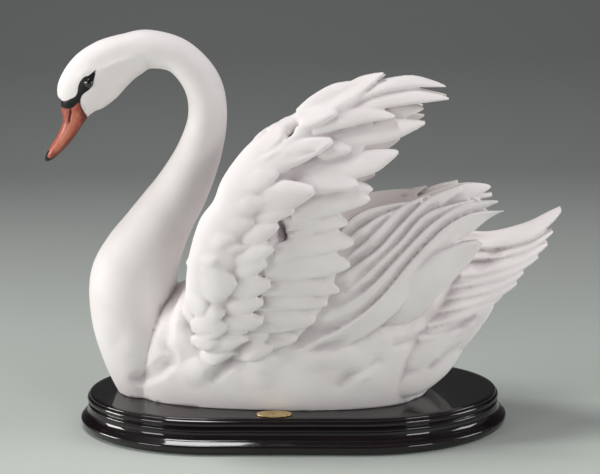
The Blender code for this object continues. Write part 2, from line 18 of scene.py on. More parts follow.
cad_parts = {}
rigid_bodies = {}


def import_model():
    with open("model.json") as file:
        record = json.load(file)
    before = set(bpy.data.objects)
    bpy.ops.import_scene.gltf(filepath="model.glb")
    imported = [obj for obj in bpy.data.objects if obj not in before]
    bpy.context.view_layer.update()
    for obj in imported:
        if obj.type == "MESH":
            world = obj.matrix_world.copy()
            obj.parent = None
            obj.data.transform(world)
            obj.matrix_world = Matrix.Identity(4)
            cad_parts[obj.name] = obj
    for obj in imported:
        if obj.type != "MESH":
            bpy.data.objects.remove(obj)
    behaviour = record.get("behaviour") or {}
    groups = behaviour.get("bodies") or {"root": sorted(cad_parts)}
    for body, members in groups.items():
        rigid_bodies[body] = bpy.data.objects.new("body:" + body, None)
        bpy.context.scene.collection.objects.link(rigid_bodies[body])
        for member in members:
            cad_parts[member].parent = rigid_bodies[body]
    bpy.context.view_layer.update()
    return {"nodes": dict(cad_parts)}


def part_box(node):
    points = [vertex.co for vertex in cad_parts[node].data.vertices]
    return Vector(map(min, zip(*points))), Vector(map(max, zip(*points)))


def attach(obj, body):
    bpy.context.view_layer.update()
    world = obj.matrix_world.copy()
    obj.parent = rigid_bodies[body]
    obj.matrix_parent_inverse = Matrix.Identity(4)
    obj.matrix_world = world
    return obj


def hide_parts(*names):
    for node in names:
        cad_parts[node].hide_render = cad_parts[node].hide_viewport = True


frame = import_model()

MM = 0.001
nodes = frame["nodes"]
for name, node in sorted(nodes.items()):
    print(name, [round(side * 1000, 1) for side in node.dimensions])

# %% [markdown]
# The photograph was taken from a little left of the swan's side, about 14 degrees above it, and held
# slightly off level. A camera's own axes say this best: one points from the swan back to the lens, and
# the other two are turned about it by the small roll. The shift moves the frame so that the swan sits
# where it does in the photograph.

# %% Camera
VIEW_AZIMUTH = 4.9
VIEW_ELEVATION = 14.4
VIEW_ROLL = -1.75
VIEW_DISTANCE = 1.2
VIEW_TARGET = Vector((0.0, 0.0, 0.15))
LENS_MM = 95.52
SENSOR_MM = 36.0
SHIFT = (0.0228, -0.0067)
NEAREST_SEEN = 0.05


def view_back(azimuth, elevation):
    """Direction from the swan to an eye at these angles."""
    a, e = math.radians(azimuth), math.radians(elevation)
    return Vector((math.sin(a) * math.cos(e), -math.cos(a) * math.cos(e), math.sin(e)))


back = view_back(VIEW_AZIMUTH, VIEW_ELEVATION)
level = Vector((0, 0, 1)).cross(back).normalized()
upright = back.cross(level)
roll = math.radians(VIEW_ROLL)
right = math.cos(roll) * level + math.sin(roll) * upright
up = math.cos(roll) * upright - math.sin(roll) * level
bpy.ops.object.select_all(action="DESELECT")
bpy.ops.object.camera_add()
camera = bpy.context.object
camera.name = "photo_camera"
turn = Matrix((right, up, back)).transposed().to_4x4()
camera.matrix_world = Matrix.Translation(VIEW_TARGET + back * VIEW_DISTANCE) @ turn
camera.data.sensor_width = SENSOR_MM
camera.data.lens = LENS_MM
camera.data.shift_x, camera.data.shift_y = SHIFT
camera.data.clip_start = NEAREST_SEEN
bpy.context.scene.camera = camera
print("lens", LENS_MM, "mm from", VIEW_DISTANCE, "m")

# %% [markdown]
# Colours are easy to name as the hex numbers of a paint chart, but a shader wants linear light. One
# function turns the first into the second. Another adds a node, sets it and links it. A few short ones
# call it for what every surface needs, so that a material reads as a list of what it is made of.

# %% Colour and node helpers
def linear(hex_colour):
    """Linear colour of an sRGB hex value such as "#d9d4d6"."""
    parts = [int(hex_colour[i:i + 2], 16) / 255 for i in (1, 3, 5)]
    return tuple(p / 12.92 if p <= 0.04045 else ((p + 0.055) / 1.055) ** 2.4 for p in parts) + (1.0,)


def add_node(tree, kind, links=None, **settings):
    """Adds a shader node; settings are its properties or its sockets' values, links join its inputs."""
    node = tree.nodes.new(kind)
    for key, value in settings.items():
        if hasattr(node, key):
            setattr(node, key, value)
        else:
            node.inputs[key.replace("_", " ")].default_value = value
    for socket, source in (links or {}).items():
        tree.links.new(source, node.inputs[socket])
    return node


def new_material(name, **shader_values):
    """A Principled material, its node tree, its shader and the place of a point on the object."""
    made = bpy.data.materials.new(name)
    made.use_nodes = True
    tree = made.node_tree
    shader = tree.nodes["Principled BSDF"]
    for key, value in shader_values.items():
        shader.inputs[key.replace("_", " ")].default_value = value
    return made, tree, shader, add_node(tree, "ShaderNodeTexCoord").outputs["Object"]


def feed(shader, **sources):
    """Links nodes' outputs to the shader's sockets of these names."""
    for key, source in sources.items():
        shader.id_data.links.new(source, shader.inputs[key.replace("_", " ")])


def noise(tree, place, patch_mm, **settings):
    """Noise with light and dark patches of about this size; one cell of it holds one of each."""
    return add_node(tree, "ShaderNodeTexNoise", {"Vector": place}, Scale=1000 / patch_mm / 2,
                    **settings).outputs["Fac"]


def ramp(tree, share, stops):
    """The colour at a share from 0 to 1 between (position, hex colour) pairs."""
    node = add_node(tree, "ShaderNodeValToRGB", {"Fac": share})
    elements = node.color_ramp.elements
    while len(elements) < len(stops):
        elements.new(0.5)
    for element, (position, colour) in zip(elements, stops):
        element.position = position
        element.color = linear(colour)
    return node.outputs["Color"]


def rescaled(tree, value, **ends):
    """A number brought from one range to another."""
    return add_node(tree, "ShaderNodeMapRange", {"Value": value}, **ends).outputs["Result"]


def bumps(tree, height, strength, depth_mm):
    """A surface whose light is bent as if it rose and fell this much."""
    return add_node(tree, "ShaderNodeBump", {"Height": height}, Strength=strength,
                    Distance=depth_mm * MM).outputs["Normal"]


def dress(obj, made):
    """Gives an object one material in place of what it had."""
    obj.data.materials.clear()
    obj.data.materials.append(made)


print("half of white paint is", round(linear("#808080")[0], 3), "of its light")

# %% [markdown]
# The photographer's table is a sweep of grey paper. A large plane is enough, with its far edge drawn up
# to a wall and the corner rounded. Its colour is painted shade and light: paler toward the lens, darker
# along the table and up the wall, falling off to a mid grey at the top as the light falls off.
#
# Many pieces below need some of their faces chosen by a rule, so there is a helper for that.

# %% Floor and backdrop
PAPER_HALF_SIZE = (4.0, 3.0, 1.0)
PAPER_FORWARD = 1.4
PAPER_BACK_EDGE = PAPER_HALF_SIZE[1] - PAPER_FORWARD
WALL_HEIGHT = 2.6
BEND_RADIUS = 0.7


def choose(obj, kind, rule):
    """From Edit Mode, selects just the vertices, edges or polygons that a rule picks."""
    bpy.ops.mesh.select_all(action="DESELECT")
    bpy.ops.object.mode_set(mode="OBJECT")
    for element in getattr(obj.data, kind):
        element.select = rule(element)
    bpy.ops.object.mode_set(mode="EDIT")


def at_foot_of_wall(edge):
    """Whether both ends of an edge of the paper lie at its back, level with the table."""
    ends = [floor.data.vertices[i].co for i in edge.vertices]
    return all(abs(end.y - PAPER_BACK_EDGE) < MM and abs(end.z) < MM for end in ends)


bpy.ops.object.select_all(action="DESELECT")
bpy.ops.mesh.primitive_plane_add(size=2.0)
floor = bpy.context.object
floor.name = "paper_sweep"
bpy.ops.object.mode_set(mode="EDIT")
bpy.ops.mesh.select_all(action="SELECT")
bpy.ops.transform.resize(value=PAPER_HALF_SIZE)
bpy.ops.transform.translate(value=(0, -PAPER_FORWARD, 0))
bpy.ops.mesh.select_mode(type="EDGE")
choose(floor, "edges", at_foot_of_wall)
bpy.ops.mesh.extrude_region_move(TRANSFORM_OT_translate={"value": (0, 0, WALL_HEIGHT)})
choose(floor, "edges", at_foot_of_wall)
bpy.ops.mesh.bevel(offset=BEND_RADIUS, segments=24, profile=0.5)
bpy.ops.object.mode_set(mode="OBJECT")
bpy.ops.object.shade_smooth()
print("paper sweep:", len(floor.data.polygons), "faces")

paper, tree, shader, place = new_material("matt_paper_with_painted_falloff", Roughness=0.9, Specular_IOR_Level=0.2)
axes = add_node(tree, "ShaderNodeSeparateXYZ", {"Vector": place})
depth = add_node(tree, "ShaderNodeMath", {0: axes.outputs["Y"], 1: axes.outputs["Z"]}, operation="ADD")
# painted shade and light: the paper's colour is paler toward the lens and darker up the wall
painted_falloff = rescaled(tree, depth.outputs[0], From_Min=-0.5, From_Max=2.6)
feed(shader, Base_Color=ramp(tree, painted_falloff, [(0.0, "#d2d9d2"), (0.35, "#aaaeab"), (0.6, "#7b7e7e"),
                                          (1.0, "#6b6d6e")]))
dress(floor, paper)

# %% [markdown]
# White bisque only shows its feathers if the light grazes them. The main light is a soft box at the left,
# as the bright breast and left edge of the neck say, with a second one above for the crown and the back.
# One at the right lights the tail. Two weak ones beside the camera open the shade, and the world gives a
# low even light.

# %% Lights
SOFT_BOXES = {
    "left_box": ((-1.36, -0.24, 0.39), 0.45, 10.6, "#fffefb"),
    "front_left_box": ((-0.98, -0.97, 0.39), 0.35, 3.2, "#ffffff"),
    "front_right_box": ((0.79, -1.13, 0.39), 0.35, 3.2, "#ffffff"),
    "right_box": ((1.25, -0.22, 0.74), 0.5, 6.2, "#ffffff"),
    "top_box": ((-0.38, 0.05, 1.45), 0.45, 9.3, "#ffffff"),
}

for name, (place, size, power, colour) in SOFT_BOXES.items():
    bpy.ops.object.select_all(action="DESELECT")
    bpy.ops.object.light_add(type="AREA", location=place)
    lamp = bpy.context.object
    lamp.name = name
    lamp.data.size = size
    lamp.data.energy = power
    lamp.data.color = linear(colour)[:3]
    lamp.rotation_euler = (VIEW_TARGET - Vector(place)).to_track_quat("-Z", "Y").to_euler()
world = bpy.data.worlds.new("studio")
bpy.context.scene.world = world
world.use_nodes = True
world.node_tree.nodes["Background"].inputs["Color"].default_value = linear("#5c5b5c")
bpy.context.scene.view_settings.view_transform = "Standard"
print(len(SOFT_BOXES), "soft boxes")

# %% [markdown]
# The plinth is moulded mahogany, stained almost black and sprayed with clear lacquer. The wood has no
# diffuse light to speak of, so the eye reads it by thin, sharp highlights on its beads. The grain is
# stretched along the length and only just shows. The lacquer is a coat of its own, with a faint ripple.

# %% Lacquered mahogany
GRAIN_MM = 1.6
RIPPLE_MM = 15.0
lacquered, tree, shader, place = new_material(
    "lacquered_mahogany", Roughness=0.4, Specular_IOR_Level=0.1, Coat_Weight=1.0, Coat_Roughness=0.05,
    Coat_IOR=1.5)
along = add_node(tree, "ShaderNodeMapping", {"Vector": place}, Scale=(0.06, 1.0, 1.0)).outputs[0]
grain = noise(tree, along, GRAIN_MM, Detail=5.0, Roughness=0.6, Distortion=0.4)
skin = bumps(tree, noise(tree, place, RIPPLE_MM, Detail=2.0), strength=0.05, depth_mm=0.6)
feed(shader, Base_Color=ramp(tree, grain, [(0.3, "#080305"), (0.55, "#10060a"), (0.8, "#1c0b0e")]),
     Normal=skin, Coat_Normal=skin)
print("lacquer over", GRAIN_MM, "mm grain")

# %% [markdown]
# The bird is one casting of bisque, which is porcelain left without glaze. Its sculptor built it up in
# layers: a smooth neck and body, the shell of each wing, then every feather on top, each row lapping the
# next like roof tiles. The same order works here. Points are in millimetres in the bird's own frame:
# x runs from the breast to the tail, y across, and z up from its flat base, which rests on the wood.
#
# A curve drawn through a few measured points keeps every outline smooth, so it is the first helper.

# %% Curves through points
CAST_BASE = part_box("swan")[0][2] / MM


def smooth_path(points, count):
    """Samples of an even curve that passes through all the points."""
    ctrl = np.array(points, dtype=float)
    ctrl = np.vstack([2 * ctrl[0] - ctrl[1], ctrl, 2 * ctrl[-1] - ctrl[-2]])
    spans = len(ctrl) - 3
    samples = []
    for t in np.linspace(0.0, spans, count):
        i = min(int(t), spans - 1)
        u = t - i
        a, b, c, d = ctrl[i:i + 4]
        samples.append(0.5 * (2 * b + (c - a) * u + (2 * a - 5 * b + 4 * c - d) * u ** 2
                              + (3 * b - a - 3 * c + d) * u ** 3))
    return np.array(samples)


def add_loft(bm, rings):
    """Joins rings of points into one closed skin, with a flat cap at each end."""
    loops = [[bm.verts.new(Vector(point) * MM) for point in ring] for ring in rings]
    count = len(loops[0])
    for below, above in zip(loops, loops[1:]):
        for i in range(count):
            j = (i + 1) % count
            bm.faces.new((below[i], below[j], above[j], above[i]))
    bm.faces.new(loops[0][::-1])
    bm.faces.new(loops[-1])


def new_object(name, bm):
    """Makes a built mesh an object of the scene, with its faces looking outward."""
    bmesh.ops.recalc_face_normals(bm, faces=bm.faces)
    mesh = bpy.data.meshes.new(name)
    bm.to_mesh(mesh)
    bm.free()
    made = bpy.data.objects.new(name, mesh)
    bpy.context.scene.collection.objects.link(made)
    return made


print("casting stands", round(CAST_BASE, 1), "mm above the table")

# %% [markdown]
# Neck, head and bill are one bent, tapering tube. Each station gives its centre in the middle plane,
# half its depth as the photograph sees it and half its width across.

# %% Neck, head and bill
NECK_LINE = [
    (-104, -10, 23, 20), (-110, 12, 28, 28), (-116, 36, 30.5, 34), (-119.5, 61, 32.5, 36),
    (-118, 87, 33.5, 35), (-111, 106, 30, 30), (-100, 125, 25.5, 25.5), (-89, 142, 22.5, 22),
    (-78, 158, 20.5, 20), (-64, 185, 17, 17), (-56, 213, 14.5, 14.5), (-59, 238, 14, 14),
    (-75, 258, 13, 13.5), (-97, 264, 14.3, 14), (-112, 260, 16.6, 15), (-126.5, 253, 20, 16.5),
    (-139, 243.5, 21.6, 16.5), (-150, 232.5, 19.2, 14.5), (-156, 223.5, 14, 11.5),
]
BILL_LINE = [
    (-153, 228, 12, 9.5), (-155, 219.5, 11, 8.8), (-158.5, 209, 7.2, 7.8), (-164, 199.5, 5.7, 7.6),
    (-171.5, 190.5, 4.5, 7.4), (-177, 184.5, 3.2, 5.8), (-180, 181.6, 1.5, 2.6),
]


def add_tube(bm, line, samples, around):
    """A round limb in the middle plane, square to its own direction at every station."""
    stations = smooth_path(line, samples)
    ahead = np.gradient(stations[:, :2], axis=0)
    ahead /= np.linalg.norm(ahead, axis=1)[:, None]
    rings = []
    for (x, z, depth, width), (dx, dz) in zip(stations, ahead):
        ring = []
        for angle in np.linspace(0, 2 * math.pi, around, endpoint=False):
            out = depth * math.cos(angle)
            ring.append((x + dz * out, width * math.sin(angle), z - dx * out))
        rings.append(ring)
    add_loft(bm, rings)


print(len(NECK_LINE) + len(BILL_LINE), "stations from the breast to the tip of the bill")

# %% [markdown]
# The body is a hull like a boat's. A section every few millimetres is flat sided at the foot, widest
# just above its middle and arched over the back.

# %% Body
BODY_SECTIONS = [
    (-124, -8, 16, 8, 12), (-114, -8, 36, 19, 25), (-100, -8, 66, 31, 36), (-80, -8, 88, 39, 45),
    (-50, -8, 104, 46, 53), (0, -8, 112, 50.5, 57), (40, -8, 118, 49.5, 57), (66, -8, 122, 45, 54),
    (84, -7, 124, 38, 49), (98, -3, 124, 25, 42), (112, 12, 124, 14, 32), (125, 32, 122, 11, 21),
    (138, 58, 118, 9, 12), (150, 86, 116, 6, 7),
]
BODY_WIDEST_SHARE = 0.52
BODY_RINGS = 70
HALF_RING_POINTS = 30


def add_body(bm):
    """The hull of the body through its sections."""
    rings = []
    for x, bottom, top, base, widest in smooth_path(BODY_SECTIONS, BODY_RINGS):
        waist = bottom + (top - bottom) * BODY_WIDEST_SHARE
        half = [(0, bottom), (base * 0.8, bottom), (base * 1.04, bottom + (waist - bottom) * 0.25),
                (widest, waist), (widest * 0.74, waist + (top - waist) * 0.76), (0, top)]
        side = smooth_path(half, HALF_RING_POINTS)
        ring = [(x, y, z) for y, z in side]
        ring += [(x, -y, z) for y, z in side[-2:0:-1]]
        rings.append(ring)
    add_loft(bm, rings)


print(len(BODY_SECTIONS), "sections of the hull")

# %% [markdown]
# Feathers lie on surfaces that curve round the bird: the outer face of the wing, its lining, the fan
# behind it and the roof of the tail. Each surface is described by its reach, which is its distance from
# the middle plane at any point of the side view.

# %% How far each surface stands out
WING_OUTREACH = [(0, 46), (35, 57), (75, 68), (123, 74), (173, 68), (223, 48), (275, 22)]
WING_LEADING_EDGE = [
    (-76, 62), (-71, 92), (-68, 113), (-64, 130), (-57, 149), (-47, 162), (-40, 178), (-24, 198),
    (-2, 215), (16, 223), (44, 236), (60, 245),
]
WING_TRAILING_EDGE = [
    (-12, 36), (8, 57), (24, 76), (36, 95), (41, 116), (42, 136), (45, 152), (45, 170), (50, 185),
    (62, 200), (68, 215), (72, 231),
]
WING_EDGE_TURN = 10.0
WING_EDGE_TURN_LENGTH = 28.0
FAN_OUTREACH = [(20, 56), (45, 62), (75, 66), (105, 66), (130, 62), (150, 56), (162, 51), (175, 42)]
FAN_NARROWS_PAST = 50.0
FAN_NARROWING = 0.14
TAIL_RIDGE = [(120, 116), (150, 124), (180, 133), (207, 144)]
TAIL_RIDGE_HALF_WIDTH = 3.0
TAIL_SLOPE = 0.6
TAIL_HALF_WIDTH = 44.0
TAIL_NARROWS_PAST = 80.0
TAIL_NARROWING = 0.18
LINING_DEPTH = 5.4
LINING_TAPER = 0.1
LINING_TAPER_LENGTH = 50.0


def edge_at(edge, z):
    """The x of a wing's leading or trailing edge at a height."""
    return float(np.interp(z, [point[1] for point in edge], [point[0] for point in edge]))


def wing_reach(x, z):
    """The wing's outer face, which turns in at the leading edge."""
    past_edge = min(max((x - edge_at(WING_LEADING_EDGE, z)) / WING_EDGE_TURN_LENGTH, 0.0), 1.0)
    return float(np.interp(z, *zip(*WING_OUTREACH))) - WING_EDGE_TURN * (1.0 - past_edge) ** 2


def lining_reach(x, z):
    """The wing's inner face, which comes nearer the outer one toward the trailing edge."""
    ahead = min(max(edge_at(WING_TRAILING_EDGE, z) - x, 0.0), LINING_TAPER_LENGTH)
    return wing_reach(x, z) - LINING_DEPTH - LINING_TAPER * ahead


def fan_reach(x, z):
    """The fan, which closes toward its tips."""
    return float(np.interp(z, *zip(*FAN_OUTREACH))) - FAN_NARROWING * max(0.0, x - FAN_NARROWS_PAST)


def tail_reach(x, z):
    """The tail's roof, which falls away from a ridge to both sides."""
    below_ridge = max(0.0, float(np.interp(x, *zip(*TAIL_RIDGE))) - z)
    widest = TAIL_HALF_WIDTH - TAIL_NARROWING * max(0.0, x - TAIL_NARROWS_PAST)
    return min(TAIL_RIDGE_HALF_WIDTH + TAIL_SLOPE * below_ridge, widest)


REACH = {"wing": wing_reach, "lining": lining_reach, "fan": fan_reach, "tail": tail_reach}
print("wing stands out", round(wing_reach(0, 120)), "mm at x 0, z 120")

# %% [markdown]
# The wing itself is a shell between its leading and trailing edges: thick and round in front, where the
# small coverts cover the bone, and thin behind.

# %% Wing shell
WING_EDGE_RADIUS = (10.0, 5.0)
WING_ROOT_SHARE = 0.14
WING_ROOT_SINK = 22.0
WING_PAD = ((0.0, 0.3, 0.55, 1.0), (3.6, 3.6, -2.4, -2.4))
WING_THICKNESS = ((0.5, 1.0), (8.0, 3.0))
WING_PAD_FADES_BY = 0.4
FAR_WING_DROP = 12.0
RIBS = 60
RIB_POINTS = 26
RIB_CROWDING = 1.5


def add_wing_shell(bm, side):
    """Ribs from the round leading edge to the thin trailing edge, lofted up the wing."""
    leading = smooth_path(WING_LEADING_EDGE, RIBS)
    trailing = smooth_path(WING_TRAILING_EDGE, RIBS)
    rings = []
    for i, (front, rear) in enumerate(zip(leading, trailing)):
        share = i / (RIBS - 1)
        radius = WING_EDGE_RADIUS[0] + (WING_EDGE_RADIUS[1] - WING_EDGE_RADIUS[0]) * share
        chord = np.linalg.norm(rear - front)
        sink = WING_ROOT_SINK * max(0.0, 1.0 - share / WING_ROOT_SHARE) ** 2
        outer, inner = [], []
        for along in np.linspace(0.0, 1.0, RIB_POINTS) ** RIB_CROWDING:
            x, z = front + (rear - front) * along
            roundness = math.sqrt(1.0 - (1.0 - min(along * chord / radius, 1.0)) ** 2)
            pad = np.interp(along, *WING_PAD) * (1.0 - WING_PAD_FADES_BY * share)
            half = np.interp(along, (0.0,) + WING_THICKNESS[0], (2 * radius,) + WING_THICKNESS[1]) / 2
            middle = wing_reach(x, z) + pad - sink - half
            outer.append((x, side * (middle + half * roundness), z))
            inner.append((x, side * (middle - half * roundness), z))
        rings.append(outer + inner[-1:0:-1])
    add_loft(bm, rings)


print(RIBS, "ribs in each wing")

# %% [markdown]
# Every feather is a thin leaf between an upper and a lower edge, nearly flat and rounded at the rim. Its
# rise tells how proud of the surface those edges stand, first at the root and then at the tip. Roots sink
# under the row in front, and lower edges stand a little proud, which casts the fine shadow lines of the
# photograph.

# %% One feather
LEAF_STATIONS = (0.0, 0.3, 0.65, 0.88, 1.0)
LEAF_SAMPLES = 20
NARROW_END_THICKNESS = 0.35
TIP_THINS_BY = 0.25
FULL_RISE_AT = 0.6
RIM_SQUARENESS = 6
FULL_CROWN_WIDTH = 10


def add_leaf(bm, surface, upper, lower, rise, thick, crown, side, across=9):
    """One leaf on a surface, between (x, z) points along its upper and lower edges."""
    facing = -1 if surface == "lining" else 1
    rings = []
    for i, (top, bottom) in enumerate(zip(upper, lower)):
        t = i / (len(upper) - 1)
        width = np.linalg.norm(top - bottom)
        fullness = min(1.0, NARROW_END_THICKNESS + (1 - NARROW_END_THICKNESS) * width / thick)
        half = thick / 2 * fullness * (1.0 - TIP_THINS_BY * t)
        emerged = math.sin(math.pi / 2 * min(t / FULL_RISE_AT, 1.0))
        arch = crown * min(1.0, width / FULL_CROWN_WIDTH)
        rise_top = rise[0] + (rise[2] - rise[0]) * emerged
        rise_bottom = rise[1] + (rise[3] - rise[1]) * emerged
        outer, inner = [], []
        for f in 0.5 - 0.5 * np.cos(np.linspace(0.0, math.pi, across)):
            x, z = top * (1 - f) + bottom * f
            rim = math.sqrt(max(0.0, 1.0 - (2 * f - 1) ** RIM_SQUARENESS))
            lift = rise_top * (1 - f) + rise_bottom * f + arch * math.sin(math.pi * f)
            middle = REACH[surface](x, z) + facing * (lift - half)
            outer.append((x, side * (middle + half * rim), z))
            inner.append((x, side * (middle - half * rim), z))
        rings.append(outer + inner[-2:0:-1])
    add_loft(bm, rings)


def add_feather(bm, surface, root, tip, width, bend, outline, rise, thick, crown, side):
    """A leaf round a shaft that bends to one side between its root and its tip."""
    root, tip = np.array(root, dtype=float), np.array(tip, dtype=float)
    reach = tip - root
    normal = np.array([-reach[1], reach[0]]) / np.linalg.norm(reach)
    shaft = [root + reach * share + normal * bend * math.sin(math.pi * share) for share in LEAF_STATIONS]
    upper = [point + normal * width / 2 * share for point, share in zip(shaft, outline)]
    lower = [point - normal * width / 2 * share for point, share in zip(shaft, outline)]
    edges = [smooth_path(edge, LEAF_SAMPLES) for edge in (upper, lower)]
    add_leaf(bm, surface, *edges, rise, thick, crown, side)


# %% [markdown]
# The rows, from the wing tip down to the tail. A row shares its surface, its rise, its thickness, its
# crown and the outline of its feathers. Each feather then is its root, its tip, its width, the bend of
# its shaft and how far it stands above its row.

# %% The feathers, row by row
ROWS = {
    "primaries": dict(surface="wing", rise=(-1, 1, -1, 1), thick=4.8, crown=1.0,
                      outline=(0.6, 0.95, 0.95, 0.5, 0.12), feathers=[
        ((14, 221), (54, 242), 11, 1, 2.6), ((27, 222), (76, 249), 10, 1, 3.2),
        ((50, 229), (120, 239), 9, 8, 0), ((51, 223), (122, 231), 11, 5, -0.3),
        ((68, 223), (104, 224), 11, 0, -5.5), ((31, 204), (105, 215), 16, -1, -2),
        ((28, 184), (86, 196), 18, -2.4, -1.6),
    ]),
    "secondaries": dict(surface="wing", rise=(-2.6, 0.2, -2.2, 0.5), thick=4.2, crown=0.4,
                        outline=(0.8, 1.0, 0.88, 0.55, 0.14), feathers=[
        ((12, 172), (57, 175), 20, 5.5, 0.8), ((32, 170), (68, 171), 12, 1.5, -1.5),
        ((9, 156), (66, 165), 18, 2, 0.4), ((4, 145), (50, 148), 17, 3.5, 0),
        ((-3, 130), (54, 134), 21, 4, 0), ((-10, 114), (51, 118), 23, 3, 0),
        ((-13, 101), (43, 98), 18, 3.5, 0), ((-17, 90), (34, 88), 17, 3, 0),
        ((-22, 74), (25, 76), 24, 2, 0), ((-31, 58), (11, 60), 19, 1, -0.5),
        ((-50, 64), (-10, 64), 30, 0, 0.4),
    ]),
    "primary_coverts": dict(surface="wing", rise=(0, 2.6, 0, 2.6), thick=4.8, crown=1.2,
                            outline=(0.6, 1.0, 0.8, 0.45, 0.12), feathers=[
        ((43, 228), (65, 241), 7, -1.3, 0.3), ((26, 213), (84, 220), 14, 4.4, 0.2),
        ((26, 199), (52, 199), 15, 1, -1.4),
    ]),
    "greater_coverts": dict(surface="wing", rise=(-1.5, -1, 3.5, 5.3), thick=5.5, crown=1.0,
                            outline=(0.6, 0.95, 0.97, 0.58, 0.25), feathers=[
        ((6, 211), (42, 224), 14, 3, 0), ((-24, 180), (39, 205), 17, 2, -0.3),
        ((-25, 157), (26, 172), 22, 2.5, 0.4), ((-25, 146), (12, 158), 13, 3, -0.6),
        ((-34, 129), (1, 148), 15, 2, 0), ((-38, 116), (-1, 134), 15, 1.5, 0.3),
        ((-39, 108), (-8, 121), 13, 1, 0), ((-42, 97), (-6, 105), 19, 2, 0.3),
        ((-46, 84), (-12, 91), 16, 1, -0.3), ((-50, 69), (-13, 77), 19, 1, -0.2),
        ((-59, 52), (-25, 61), 16, 1.5, -1.4), ((-44, 46), (-8, 53), 17, 1, -3.4),
    ]),
    "median_coverts": dict(surface="wing", rise=(-3, -2.5, 2.3, 4.3), thick=6.0, crown=0.9,
                           outline=(0.4, 0.9, 0.95, 0.55, 0.22), feathers=[
        ((-20, 197), (10, 215), 14, 0, -0.8), ((-26, 188), (3, 200), 12, 1.3, -0.7),
        ((-37, 169), (1, 185), 20, 1.4, -0.2), ((-45, 156), (-7, 166), 18, 0.7, 0),
        ((-53, 144), (-17, 151), 17, 0, -0.2), ((-62, 132), (-31, 140), 16, 0.5, 0.2),
        ((-50, 124), (-21, 134), 11, 2.5, 0), ((-67, 114), (-44, 125), 18, 0, 0.3),
        ((-64, 98), (-31, 109), 30, 2.5, 2), ((-70, 85), (-53, 91), 22, 0.4, 0.3),
        ((-61, 81), (-40, 83), 15, 0.6, 1.4), ((-67, 68), (-39, 72), 21, 1, 1.4),
        ((-68, 56), (-46, 59), 15, 0, -0.7), ((-62, 44), (-34, 47), 15, 0, -3.4),
    ]),
    "back_tertial": dict(surface="fan", rise=(-6, -6, -6, -6), thick=4.0, crown=0.5,
                         outline=(0.7, 0.9, 1.0, 0.6, 0.15), feathers=[
        ((102, 150), (152, 164), 11, 2, 0),
    ]),
    "tail_feathers": dict(surface="tail", rise=(-3.4, 2.4, -3, 2.4), thick=5.5, crown=1.0,
                          outline=(1.0, 1.0, 1.0, 0.65, 0.2), feathers=[
        ((126, 120), (205, 141), 11, -11, 1), ((135, 109), (198, 126), 10, -4.5, 0),
        ((129, 98), (194, 118), 12, -3.3, 0), ((123, 90), (187, 109), 10.5, -2.8, 0),
        ((116, 82), (176, 98), 10.5, -2.2, 0), ((110, 74), (171, 91), 10.5, -2.5, 0),
        ((105, 65), (160, 82), 10, -2.5, 0), ((98, 55), (153, 75), 11, -3, 0),
    ]),
    "under_tail": dict(surface="tail", rise=(-6, -6, 0.2, 1.3), thick=10.0, crown=2.2,
                       outline=(0.9, 1.0, 0.62, 0.34, 0.08), feathers=[
        ((78, 30), (153, 75), 30, -7.3, 1), ((69, 17), (132, 45), 28, -9, -1),
    ]),
    "rump": dict(surface="fan", rise=(-12, -20, 1.5, -11), thick=15.0, crown=3.0,
                 outline=(0.8, 1.0, 0.85, 0.55, 0.24), feathers=[
        ((66, 55), (143, 126), 35, 6, 0),
    ]),
}

print(sum(len(row["feathers"]) for row in ROWS.values()), "feathers on each side, before fan and lining")

# %% [markdown]
# Behind the wing the long tertials sweep up and back like a fan of blades. Only the ridge of each is
# drawn. From there the blade falls away, a little hollow, to the ridge below it.

# %% Tertial fan
FAN_RIDGES = [
    [(36, 127), (44, 140), (51, 148), (63, 154), (81, 157), (98, 158)],
    [(38, 120), (51, 136), (61, 143), (75, 150), (102, 158)],
    [(38, 111), (53, 125), (66, 136), (80, 149), (91, 157), (108, 162)],
    [(30, 97), (46, 110), (69, 125), (86, 142), (106, 159), (130, 167)],
    [(32, 85), (52, 100), (72, 118), (87, 132), (103, 148), (121, 154), (142, 158)],
    [(17, 67), (41, 83), (63, 98), (83, 118), (106, 140), (129, 153), (156, 156)],
    [(-10, 42), (13, 51), (46, 70), (71, 90), (94, 117), (118, 139), (138, 148), (161, 149)],
    [(-10, 31), (18, 42), (52, 55), (78, 73), (97, 96), (115, 119), (134, 132), (161, 146)],
]
FAN_RISE = (-5.0, -8.0, 2.0, -2.6)
FAN_THICK = 6.0
FAN_HOLLOW = -1.2
FAN_TIP_SHARE = 0.2
FAN_WEB = (
    [(28, 125), (47, 145), (80, 151), (110, 154), (140, 155)],
    [(-4, 38), (52, 58), (96, 99), (130, 135), (152, 146)],
)
FAN_WEB_RISE = (-5, -5, -4, -4)
FAN_TIP_BLUNT = 0.4
FAN_LEAST_DEPTH = 1.5
FAN_SAMPLES = 50
FAN_WEB_SAMPLES = 30
FAN_WEB_ACROSS = 25


def add_fan(bm, side):
    """Every blade from its own ridge down to the next, on a common web."""
    for ridge, following in zip(FAN_RIDGES, FAN_RIDGES[1:]):
        upper, under = smooth_path(ridge, FAN_SAMPLES), smooth_path(following, FAN_SAMPLES)
        depth = np.maximum(upper[:, 1] - np.interp(upper[:, 0], *under.T), FAN_LEAST_DEPTH)
        closing = np.minimum(1.0, np.linspace(1.0, 0.0, FAN_SAMPLES) / FAN_TIP_SHARE + FAN_TIP_BLUNT)
        lower = upper - np.stack([np.zeros(FAN_SAMPLES), depth * closing], axis=1)
        add_leaf(bm, "fan", upper, lower, FAN_RISE, FAN_THICK, FAN_HOLLOW, side)
    upper, lower = [smooth_path(edge, FAN_WEB_SAMPLES) for edge in FAN_WEB]
    add_leaf(bm, "fan", upper, lower, FAN_WEB_RISE, FAN_THICK, 0.0, side, across=FAN_WEB_ACROSS)


print(len(FAN_RIDGES) - 1, "blades in each fan")

